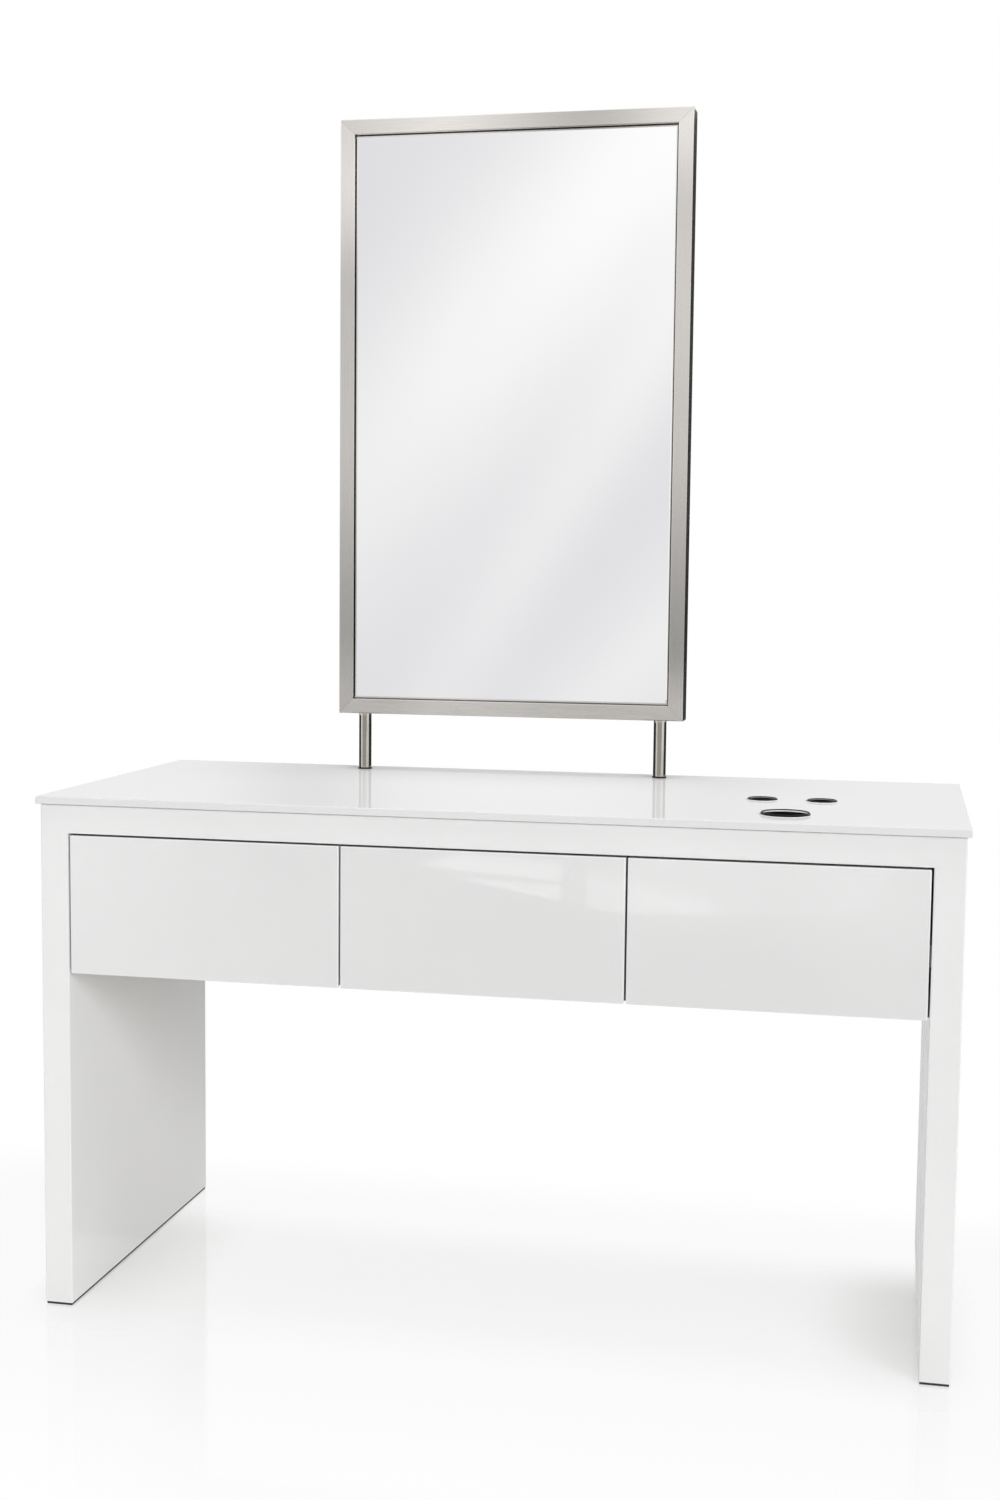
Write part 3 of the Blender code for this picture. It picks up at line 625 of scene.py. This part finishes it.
def hole_cutter(low, high):
    """Cylinders for the holders and the post studs, between two heights."""
    bm = bmesh.new()
    foot, top = low - CUT_REACH, high + CUT_REACH
    for _, x, y, rim in holder_facts():
        radius = rim - HOLDER_RIM_WIDTH + HOLDER_CLEARANCE
        cylinder_into(bm, x, y, foot, top, radius, ROUND_STEPS)
    for _, x, y, *_ in post_facts():
        cylinder_into(bm, x, y, foot, top, STUD_RADIUS + STUD_CLEARANCE, STUD_STEPS)
    return bm


def make_carcass(material):
    """Both legs and the top panel as one lacquered shell without a seam."""
    left_low, left_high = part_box("side_panel_left")
    right_low, right_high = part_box("side_panel_right")
    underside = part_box("top_panel")[0].z
    foot, top, near = left_low.z, left_high.z, left_low.y
    outline = [
        (left_low.x, foot),
        (left_high.x, foot),
        (left_high.x, underside),
        (right_low.x, underside),
        (right_low.x, foot),
        (right_high.x, foot),
        (right_high.x, top),
        (left_low.x, top),
    ]
    depth = left_high.y - near
    bm = extruded([(x, near, z) for x, z in outline], (0, depth, 0))
    inner = (left_high.x, right_low.x)
    edges = []
    for edge in bm.edges:
        first, second = (vert.co for vert in edge.verts)
        at_corner = abs(first.z - underside) < GAP and any(abs(first.x - x) < GAP for x in inner)
        if not (at_corner and abs(first.y - second.y) > GAP):
            edges.append(edge)
    # The rounded edges take the eased lacquer, a faint painted highlight
    ease(bm, edges, CARCASS_EDGE)
    # Painted highlight: the rounded strips along the foot take the lighter arris lacquer
    for face in bm.faces:
        if face.material_index == 1 and face.calc_center_median().z < foot + CARCASS_EDGE:
            face.material_index = 2
    nodes = ("side_panel_left", "side_panel_right", "top_panel")
    looks = [material["lacquer"], material["eased"], material["arris"]]
    shell = new_piece("carcass_shell", bm, looks, "table", nodes)
    cut(shell, hole_cutter(underside, top))
    reach, sill, inset = CUT_REACH, top - SHADOW_GAP_HEIGHT, SHADOW_GAP_DEPTH
    left, right, far = left_low.x, right_high.x, left_high.y
    cut(shell, box_mesh((left - reach, near - reach, sill), (right + reach, near + inset, top + reach)))
    cut(shell, box_mesh((left - reach, far - inset, sill), (right + reach, far + reach, top + reach)))
    cut(shell, box_mesh((left - reach, near - reach, sill), (left + inset, far + reach, top + reach)))
    cut(shell, box_mesh((right - inset, near - reach, sill), (right + reach, far + reach, top + reach)))


def make_worktop(material):
    low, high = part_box("worktop")
    bm = box_mesh(low, high)
    # Side faces take the darker edge copy of the worktop, as painted shade
    for face in bm.faces:
        if abs(face.normal.z) < SIDE_LEAN:
            face.material_index = 2
    ease(bm, bm.edges[:], WORKTOP_EDGE)
    looks = [material["worktop"], material["worktop_arris"], material["worktop_edge"]]
    slab = new_piece("worktop_slab", bm, looks, "table", ("worktop",))
    cut(slab, hole_cutter(low.z, high.z))


def make_drawer_front(place, material):
    """A gloss front with rounded edges, hollowed behind its lower edge, and grooved for the drawer bottom."""
    low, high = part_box(place + "_drawer_front")
    profile = [
        (low.y, low.z),
        (low.y + GRIP_LIP, low.z),
        (high.y, low.z + GRIP_RISE),
        (high.y, high.z),
        (low.y, high.z),
    ]
    bm = extruded([(low.x, y, z) for y, z in profile], (high.x - low.x, 0, 0))
    # Painted highlight: the rounded edges take the lighter arris lacquer, except those along the lower edge
    ease(bm, bm.edges[:], FRONT_EDGE)
    for face in bm.faces:
        if face.calc_center_median().z < low.z + FRONT_EDGE:
            face.material_index = 0
    looks = [material["front"], material["arris"]]
    nodes = (place + "_drawer_front",)
    front = new_piece(place + "_gloss_front", bm, looks, place + "_drawer", nodes)
    groove_low, groove_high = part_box(place + "_drawer_bottom")
    room = Vector((GAP, GAP, GAP))
    groove_high.y = high.y + GRIP_LIP
    cut(front, box_mesh(groove_low - room, groove_high + room))


# Tool holders


def arc(centre, radius, start, end, steps):
    """Points on an ellipse from one angle to another, both ends included."""
    angles = [start + (end - start) * i / steps for i in range(steps + 1)]
    return [(centre[0] + radius[0] * math.cos(a), centre[1] + radius[1] * math.sin(a)) for a in angles]


def make_holder(name, x, y, rim, material):
    """A black cup under a rounded black rim, with a narrow steel collar inside, on a white sealing bead."""
    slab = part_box("worktop")[1].z
    seat, floor = slab + GAP, slab - HOLDER_DEPTH
    outer = rim - HOLDER_RIM_WIDTH
    bore = outer - HOLDER_WALL
    rounding = HOLDER_FLOOR_RADIUS
    inside = rounding - HOLDER_WALL
    quarter = math.pi / 2
    crown = HOLDER_RIM_SHARE * rim
    middle, half = (rim + bore) / 2, (rim - bore) / 2
    profile = [
        (0, floor),
        *arc((outer - rounding, floor + rounding), (rounding, rounding), -quarter, 0, RIM_STEPS),
        (outer, seat),
        *arc((middle, seat), (half, crown), 0, math.pi, 2 * RIM_STEPS),
        *arc((bore - inside, floor + rounding), (inside, inside), 0, -quarter, RIM_STEPS),
        (0, floor + HOLDER_WALL),
    ]
    bm = turned(profile, ROUND_STEPS, (x, y, 0))
    for face in bm.faces:
        centre = face.calc_center_median()
        reach = math.hypot(centre.x - x, centre.y - y)
        if centre.z <= seat + GAP:
            face.material_index = 2
        elif reach < middle and centre.z < seat + COLLAR_SHARE * crown:
            face.material_index = 1
    tool = name.split("_")[0]
    looks = [material["rim"], material[tool + "_collar"], material["cup"]]
    new_piece(name + "_cup", bm, looks, "table", (name,), SHARP_ANGLE)
    bead = [(rim, slab), *arc((rim, slab), (SEAL_WIDTH, SEAL_HEIGHT), 0, quarter, RIM_STEPS)]
    seal = turned(bead, ROUND_STEPS, (x, y, 0), True)
    new_piece(name + "_seal", seal, [material["worktop_arris"]], "table", sharp=SHARP_ANGLE)


# Posts


def make_post(hand, x, y, radius, tail, top, material):
    """A turned post on a stud, over a flattened black sealing ring."""
    ring_low, ring_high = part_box("post_gasket_" + hand)
    foot = ring_high.z + GAP
    chamfer = POST_CHAMFER
    profile = [
        (0, tail),
        (STUD_RADIUS - chamfer, tail),
        (STUD_RADIUS, tail + chamfer),
        (STUD_RADIUS, foot),
        (radius - chamfer, foot),
        (radius, foot + chamfer),
        (radius, top - chamfer),
        (radius - chamfer, top),
        (0, top),
    ]
    bm = turned(profile, ROUND_STEPS, (x, y, 0))
    nodes = ("mirror_post_" + hand,)
    new_piece("turned_post_" + hand, bm, [material["post"]], "table", nodes, POST_SHARP_ANGLE)
    half = (ring_high.z - ring_low.z) / 2
    outer = (ring_high.x - ring_low.x) / 2
    inner = STUD_RADIUS + STUD_CLEARANCE
    edge = arc((outer - half, ring_low.z + half), (half, half), -math.pi / 2, math.pi / 2, RIM_STEPS)
    ring = turned([(inner, ring_low.z), *edge, (inner, ring_high.z)], ROUND_STEPS, (x, y, 0), True)
    nodes = ("post_gasket_" + hand,)
    new_piece("sealing_ring_" + hand, ring, [material["rubber"]], "table", nodes, SHARP_ANGLE)


# Screws


def make_screw(name, place, material):
    """A pan head with a cross recess, on a face that looks back."""
    head = arc((0, 0), (SCREW_RADIUS, SCREW_HEIGHT), 0, math.pi / 2, RIM_STEPS)
    bm = turned([(0, 0), *head], SCREW_STEPS, (0, 0, 0))
    bmesh.ops.rotate(bm, cent=(0, 0, 0), matrix=Matrix.Rotation(-math.pi / 2, 3, "X"), verts=bm.verts)
    bmesh.ops.translate(bm, vec=place, verts=bm.verts)
    screw = new_piece(name, bm, [material["zinc"]], "table", sharp=SHARP_ANGLE)
    reach, half = SCREW_CROSS * SCREW_RADIUS, SCREW_SLOT / 2
    near, far = SCREW_HEIGHT - SCREW_SLOT_DEPTH, 2 * SCREW_HEIGHT
    for wide, tall in ((reach, half), (half, reach)):
        cut(screw, box_mesh(place + Vector((-wide, near, -tall)), place + Vector((wide, far, tall))))


def make_case_screws(material):
    low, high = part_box("case_back")
    for hand in HANDS:
        divider_low, divider_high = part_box("divider_" + hand)
        x = (divider_low.x + divider_high.x) / 2
        for number, share in enumerate(SCREW_PLACES, 1):
            place = Vector((x, high.y + SCREW_SEAT, low.z + share * (high.z - low.z)))
            make_screw(f"case_back_screw_{hand}_{number}", place, material)


# Stage


def seen_rays(look):
    """One for rays that show the background: camera, glossy and transmission rays."""
    path = look.add("ShaderNodeLightPath")
    glossy_or_camera = look.math("MAXIMUM", path.outputs["Is Camera Ray"], path.outputs["Is Glossy Ray"])
    return look.math("MAXIMUM", glossy_or_camera, path.outputs["Is Transmission Ray"])


class WorldShading(Shading):
    """The world's node tree, with the same short calls."""

    def __init__(self, name):
        self.world = bpy.data.worlds.new(name)
        self.world.use_nodes = True
        self.tree = self.world.node_tree
        self.shader = self.tree.nodes["Background"]
        self.output = self.tree.nodes["World Output"]


def make_world():
    """White where it is seen or reflected, and a plain ambient light elsewhere."""
    look = WorldShading("studio")
    look.set(Color=(1, 1, 1, 1), Strength=AMBIENT)
    white = look.add("ShaderNodeBackground", {"Color": (1, 1, 1, 1), "Strength": 1.0})
    mixed = look.mix(seen_rays(look), look.shader.outputs[0], white.outputs[0])
    look.join(mixed, look.output.inputs["Surface"])
    bpy.context.scene.world = look.world


def polygon(name, corners):
    mesh = bpy.data.meshes.new(name)
    mesh.from_pydata(corners, [], [tuple(range(len(corners)))])
    made = bpy.data.objects.new(name, mesh)
    bpy.context.scene.collection.objects.link(made)
    return made


def standing(start, end, foot, top):
    """Corners of an upright card between two places (x, y). It looks to the right of the way between them."""
    return [(*start, foot), (*end, foot), (*end, top), (*start, top)]


def lying(left, right, near, far, height, rise=0.0):
    """Corners of a card that looks up, and rises to the far side. With near and far swapped it looks down."""
    raised = height + rise
    return [(left, near, height), (right, near, height), (right, far, raised), (left, far, raised)]


# The floor: how matt it is under the table, its polish, and places in metres between which each of them rises
FLOOR_REACH = 40
FLOOR_ROUGHNESS = 0.6
MATT_MIDDLE = 0.18
MATT_LEGS = 0.53
MATT_LEG_RISE = (0.46, 0.66)
MATT_SIDE_FADE = (0.77, 0.66)
MATT_BACK_FADE = (0.23, 0.03)
MATT_FRONT_FADE = (-0.43, -0.22)
POLISH_INDEX = 2.0
POLISH_ROUGHNESS = 0.08
POLISH_SIDE_FADE = (1.4, 0.9)
POLISH_BACK_FADE = (0.55, 0.25)
POLISH_FRONT_FADE = (-1.05, -0.25)


def make_floor():
    """A pale polished floor with the soft shadow and a weak reflection. It is pure white further out."""
    floor = polygon("floor", lying(-FLOOR_REACH, FLOOR_REACH, -FLOOR_REACH, FLOOR_REACH, 0))
    look = Shading("pale_floor")
    look.set(Base_Color=(1, 1, 1, 1), Roughness=FLOOR_ROUGHNESS, Specular_IOR_Level=0.0)
    white = look.add("ShaderNodeEmission", {"Strength": 1.0})
    forward = look.along("Y")
    sideways = look.math("ABSOLUTE", look.along("X"), 0.0)
    matt = look.ranged(look.smooth(sideways, *MATT_LEG_RISE), MATT_MIDDLE, MATT_LEGS, 0.0, 1.0)
    matt = look.product(matt, look.smooth(sideways, *MATT_SIDE_FADE))
    matt = look.product(matt, look.smooth(forward, *MATT_BACK_FADE), look.smooth(forward, *MATT_FRONT_FADE))
    share = look.math("MULTIPLY", look.math("SUBTRACT", 1.0, matt), seen_rays(look))
    base = look.mix(share, look.shader.outputs[0], white.outputs[0])
    polish = look.add("ShaderNodeBsdfGlossy", {"Roughness": POLISH_ROUGHNESS})
    rising = look.add("ShaderNodeFresnel", {"IOR": POLISH_INDEX})
    polished = look.product(rising.outputs[0], look.smooth(sideways, *POLISH_SIDE_FADE))
    polished = look.product(polished, look.smooth(forward, *POLISH_BACK_FADE))
    polished = look.product(polished, look.smooth(forward, *POLISH_FRONT_FADE))
    look.join(look.mix(polished, base, polish.outputs[0]), look.output.inputs["Surface"])
    floor.data.materials.append(look.material)


def card(name, corners):
    """A one-sided card that only shiny surfaces see. Returns its shading, with the emission as its shader."""
    made = polygon(name, corners)
    made.visible_camera = False
    made.visible_diffuse = False
    made.visible_shadow = False
    made.visible_transmission = False
    made.visible_volume_scatter = False
    look = Shading(name)
    look.tree.nodes.remove(look.shader)
    look.shader = look.add("ShaderNodeEmission")
    clear = look.add("ShaderNodeBsdfTransparent")
    side = look.add("ShaderNodeNewGeometry").outputs["Backfacing"]
    look.join(look.mix(side, look.shader.outputs[0], clear.outputs[0]), look.output.inputs["Surface"])
    made.data.materials.append(look.material)
    return look


def flag(name, corners, level):
    """A card of one even level."""
    card(name, corners).set(Strength=level)


# The bright wall that the mirror shows: its place, its middle (x, z), and its level with a drift and limits
WALL_SPAN = (-4, 3)
WALL_Y = -6.0
WALL_FOOT = 0.45
WALL_TOP = 5.5
WALL_MIDDLE = (-1.33, 1.98)
WALL_LEVEL = 0.763
WALL_DRIFT = 0.03
WALL_LIMITS = (0.7, 1.05)

# The wall's tint by its level, cool in the darker parts
WALL_TINTS = ((0.74, (0.995, 0.995, 1.018)), (0.92, grey(1.0)))

# Slanting bands of light and shade on the wall, with angles in radians
WALL_BANDS = (
    {"level": 0.149, "angle": 0.82, "centre": 0.36, "width": 0.52, "growth": 0.22},
    {"level": 0.064, "angle": 1.02, "centre": -0.46, "width": 0.20, "growth": 0.14},
    {"level": -0.026, "angle": 0.85, "centre": -0.82, "width": 0.20, "growth": 0.5},
    {"level": 0.06, "angle": 0.75, "centre": -1.36, "width": 0.22, "growth": 0.0},
)

# Share of the light that the mirror sends on
MIRROR_SHARE = 0.935


def make_wall_card():
    """The wall across from the mirror. Its level is what the mirror sends on, so it is a little brighter."""
    left, right = WALL_SPAN
    look = card("bright_wall", standing((right, WALL_Y), (left, WALL_Y), WALL_FOOT, WALL_TOP))
    x = look.math("SUBTRACT", look.along("X"), WALL_MIDDLE[0])
    z = look.math("SUBTRACT", look.along("Z"), WALL_MIDDLE[1])
    total = look.math("ADD", look.math("MULTIPLY", x, WALL_DRIFT), WALL_LEVEL)
    for band in WALL_BANDS:
        sine, cosine = math.sin(band["angle"]), math.cos(band["angle"])
        across = look.math("SUBTRACT", look.math("MULTIPLY", z, cosine), look.math("MULTIPLY", x, sine))
        along = look.math("ADD", look.math("MULTIPLY", x, cosine), look.math("MULTIPLY", z, sine))
        fall = look.bell(across, band["centre"], band["width"])
        growth = look.math("ADD", look.math("MULTIPLY", along, band["growth"]), 1.0)
        strength = look.math("MULTIPLY", look.math("MULTIPLY", fall, growth), band["level"])
        total = look.math("ADD", total, strength)
    look.join(look.colours(total, WALL_TINTS), look.shader.inputs["Color"])
    lowest, highest = WALL_LIMITS
    level = look.math("MAXIMUM", look.math("DIVIDE", total, MIRROR_SHARE), lowest)
    look.join(look.math("MINIMUM", level, highest), look.shader.inputs["Strength"])


# The room's floor in front of the table: its place and its darkest level
ROOM_FLOOR_SPAN = (-5, 4)
ROOM_FLOOR_DEPTH = (-5.98, -1.3)
ROOM_FLOOR_HEIGHT = 0.01
ROOM_FLOOR_LEVEL = 0.15

# A window's light on it. Each line is two places (x, y) that it runs through and half the width of its blur.
CRISP_ACROSS = 0.03
CRISP_ALONG = 0.007
BAR_LEFT = ((-0.53, -4.05), (-0.73, -5.22), CRISP_ALONG)
BAR_RIGHT = ((-0.41, -3.92), (-0.62, -5.22), CRISP_ALONG)
UPPER_PANE_NEAR = ((-1.24, -4.85), (-0.62, -4.60), CRISP_ACROSS)
UPPER_PANE_FAR = ((-1.17, -5.21), (-0.70, -5.08), CRISP_ACROSS)
UPPER_PANE_LEFT = ((-1.24, -4.85), (-1.17, -5.21), 0.02)
LOWER_PANE_NEAR = ((-1.01, -4.58), (-0.55, -4.17), CRISP_ACROSS)
LOWER_PANE_FAR = ((-1.01, -4.58), (-0.61, -4.53), CRISP_ACROSS)
SIDE_PANE_NEAR_LEFT = ((-0.44, -4.06), (-0.27, -3.98), CRISP_ACROSS)
SIDE_PANE_NEAR_RIGHT = ((-0.27, -3.98), (0.01, -4.04), CRISP_ACROSS)
SIDE_PANE_RIGHT = ((0.04, -3.92), (-0.07, -5.22), 0.065)
SIDE_PANE_FAR = ((-0.57, -4.89), (0.0, -4.24), 0.18)
VEIL_LEFT = ((-0.97, -3.92), (-1.31, -5.32), 0.155)
VEIL_RIGHT = ((0.26, -3.92), (0.19, -5.32), 0.39)
CORNER_LEFT = ((0.33, -3.92), (0.27, -5.32), 0.15)
CORNER_RIGHT = ((0.48, -4.20), (0.65, -5.34), 0.015)
STRIPE_LEFT = ((-1.30, -2.69), (-2.27, -5.32), 0.024)
STRIPE_RIGHT = ((-1.15, -2.69), (-2.05, -5.32), 0.024)
GLOW_RIGHT = ((-1.43, -2.69), (-2.46, -5.32), 0.54)
LIFT_LEFT = ((-0.15, -2.69), (-0.45, -5.32), 0.25)

# Places between which patches of it rise with the distance
CORNER_RISE = (-3.86, -4.47)
LIFT_RISE = (-3.0, -4.5)
FAR_RISE = (-2.69, -5.51)


def make_room_floor_card():
    """The room's darker floor in front of the table with a window's light, as the gloss fronts show it."""
    look = card("room_floor", lying(*ROOM_FLOOR_SPAN, *ROOM_FLOOR_DEPTH, ROOM_FLOOR_HEIGHT))
    x, y = look.along("X"), look.along("Y")

    def beyond(line):
        """One beyond a line, zero on the table's side of it."""
        first, second, blur = line
        slope = (second[1] - first[1]) / (second[0] - first[0])
        edge = look.math("ADD", look.math("MULTIPLY", x, slope), first[1] - slope * first[0])
        return look.smooth(look.math("SUBTRACT", edge, y), -blur, blur)

    def before(line):
        return look.math("SUBTRACT", 1.0, beyond(line))

    def right_of(line):
        """One to the right of a line, zero to the left of it."""
        first, second, blur = line
        slope = (second[0] - first[0]) / (second[1] - first[1])
        edge = look.math("ADD", look.math("MULTIPLY", y, slope), first[0] - slope * first[1])
        return look.smooth(look.math("SUBTRACT", x, edge), -blur, blur)

    def left_of(line):
        return look.math("SUBTRACT", 1.0, right_of(line))

    bar_left, bar_right = left_of(BAR_LEFT), right_of(BAR_RIGHT)
    sill = beyond(LOWER_PANE_NEAR)
    side_sill = look.product(beyond(SIDE_PANE_NEAR_LEFT), beyond(SIDE_PANE_NEAR_RIGHT))
    upper_pane = look.product(beyond(UPPER_PANE_NEAR), before(UPPER_PANE_FAR), bar_left)
    upper_pane = look.product(upper_pane, right_of(UPPER_PANE_LEFT))
    lower_pane = look.product(sill, before(LOWER_PANE_FAR), bar_left)
    side_pane = look.product(side_sill, bar_right, left_of(SIDE_PANE_RIGHT), before(SIDE_PANE_FAR))
    veil = look.product(sill, side_sill, right_of(VEIL_LEFT), left_of(VEIL_RIGHT))
    corner = look.product(left_of(CORNER_RIGHT), look.smooth(y, *CORNER_RISE), right_of(CORNER_LEFT))
    stripe = look.product(right_of(STRIPE_LEFT), left_of(STRIPE_RIGHT))
    lift = look.product(right_of(LIFT_LEFT), look.smooth(y, *LIFT_RISE))
    shares = (
        (lift, 0.45),
        (left_of(GLOW_RIGHT), 0.85),
        (look.smooth(y, *FAR_RISE), 0.15),
        (upper_pane, 0.95),
        (lower_pane, 0.95),
        (side_pane, 0.60),
        (veil, 0.20),
        (corner, 0.35),
        (stripe, 0.12),
    )
    total = ROOM_FLOOR_LEVEL
    for value, level in shares:
        total = look.math("ADD", look.math("MULTIPLY", value, level), total)
    look.join(total, look.shader.inputs["Strength"])


# The wall behind the table, its darker strips (middle x, width, depth of shade), and the screen under it
REAR_SPAN = (-2.4, 1.4)
REAR_Y = 2.0
REAR_FOOT = 0.86
REAR_TOP = 1.25
REAR_STRIPS = ((-0.98, 0.23, 0.45), (0.12, 0.20, 0.20))
SCREEN_SPAN = (-2.6, 1.6)
SCREEN_NEAR = 0.4
SCREEN_HEIGHT = 0.79


def make_rear_card():
    """The room behind the table, as the slab shows it. A white screen hides it from the floor."""
    left, right = REAR_SPAN
    look = card("rear_wall", standing((left, REAR_Y), (right, REAR_Y), REAR_FOOT, REAR_TOP))
    level = 1.0
    for middle, width, shade in REAR_STRIPS:
        strip = look.bell(look.along("X"), middle, width)
        level = look.math("SUBTRACT", level, look.math("MULTIPLY", strip, shade))
    look.join(level, look.shader.inputs["Strength"])
    flag("rear_screen", lying(*SCREEN_SPAN, REAR_Y, SCREEN_NEAR, SCREEN_HEIGHT), 1.0)


# Darker cards that give the steel and the gloss lacquer something to reflect: name, corners and level
FLOOR_FLAG_HEIGHT = 0.004
FLOOR_FLAG_EDGE = 0.50
FLOOR_FLAG_FAR = 3.2
FRAME_FLAG_Y = 0.345
FLAGS = (
    ("low_wall", standing((6, WALL_Y), (-6, WALL_Y), 0, WALL_FOOT), 0.43),
    ("rear_floor_flag", lying(-0.68, FLOOR_FLAG_EDGE, 0.0, FLOOR_FLAG_FAR, FLOOR_FLAG_HEIGHT), 0.50),
    ("right_leg_flag", lying(FLOOR_FLAG_EDGE, 0.72, -0.36, FLOOR_FLAG_FAR, FLOOR_FLAG_HEIGHT), 0.72),
    ("rear_ramp_flag", lying(-1.5, 1.2, near=0.34, far=0.95, height=0.800, rise=0.045), 0.02),
    ("frame_side_flag", standing((0.2405, FRAME_FLAG_Y), (0.60, FRAME_FLAG_Y), foot=0.90, top=1.965), 0.02),
)


def make_post_flags():
    """A grey card in front of each post and a dark one at each side, so that the polished tube shows stripes.

    The left one faces the post from a little in front, so that the slab only meets its clear back.
    """
    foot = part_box("worktop")[1].z + GAP
    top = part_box("mirror_frame_bottom")[0].z - POST_FLAG_GAP
    for hand, x, y, *_ in post_facts():
        front, side = y - POST_FLAG_REACH, x + POST_FLAG_REACH
        corners = standing((x + POST_FLAG_HALF, front), (x - POST_FLAG_HALF, front), foot, top)
        flag("front_flag_" + hand, corners, POST_FLAG_GREY)
        near, far = y - POST_FLAG_REACH / 4, y + 2 * POST_FLAG_REACH
        flag("right_flag_" + hand, standing((side, far), (side, near), foot, top), POST_FLAG_DARK)
        start = (x + POST_FLAG_START[0], y + POST_FLAG_START[1])
        end = (start[0] + POST_FLAG_RUN[0], start[1] + POST_FLAG_RUN[1])
        flag("left_flag_" + hand, standing(start, end, foot, top), POST_FLAG_DARK)


def make_lamp(name, kind):
    data = bpy.data.lights.new(name, kind)
    lamp = bpy.data.objects.new(name, data)
    lamp.visible_camera = False
    lamp.visible_glossy = False
    bpy.context.scene.collection.objects.link(lamp)
    return lamp


def make_lights():
    """A wide softbox high above, and a low, soft key from the front right."""
    top = make_lamp("top_softbox", "AREA")
    top.data.size = TOP_LIGHT_SIZE
    top.data.energy = TOP_LIGHT_WATTS
    top.location = TOP_LIGHT_PLACE
    key = make_lamp("key_light", "SUN")
    key.data.energy = KEY_LIGHT
    key.data.angle = math.radians(KEY_SOFTNESS)
    key.rotation_euler = (math.radians(90 - KEY_HEIGHT), 0, math.radians(KEY_HEADING))


make_camera()
material = make_materials()
dress_nodes(material)
make_carcass(material)
make_worktop(material)
for place in DRAWERS:
    make_drawer_front(place, material)
for name, x, y, rim in holder_facts():
    make_holder(name, x, y, rim, material)
for hand, x, y, radius, tail, top in post_facts():
    make_post(hand, x, y, radius, tail, top, material)
make_case_screws(material)
make_world()
make_floor()
make_wall_card()
make_room_floor_card()
make_rear_card()
for name, corners, level in FLAGS:
    flag(name, corners, level)
make_post_flags()
make_lights()

bpy.context.scene.view_settings.view_transform = "Standard"
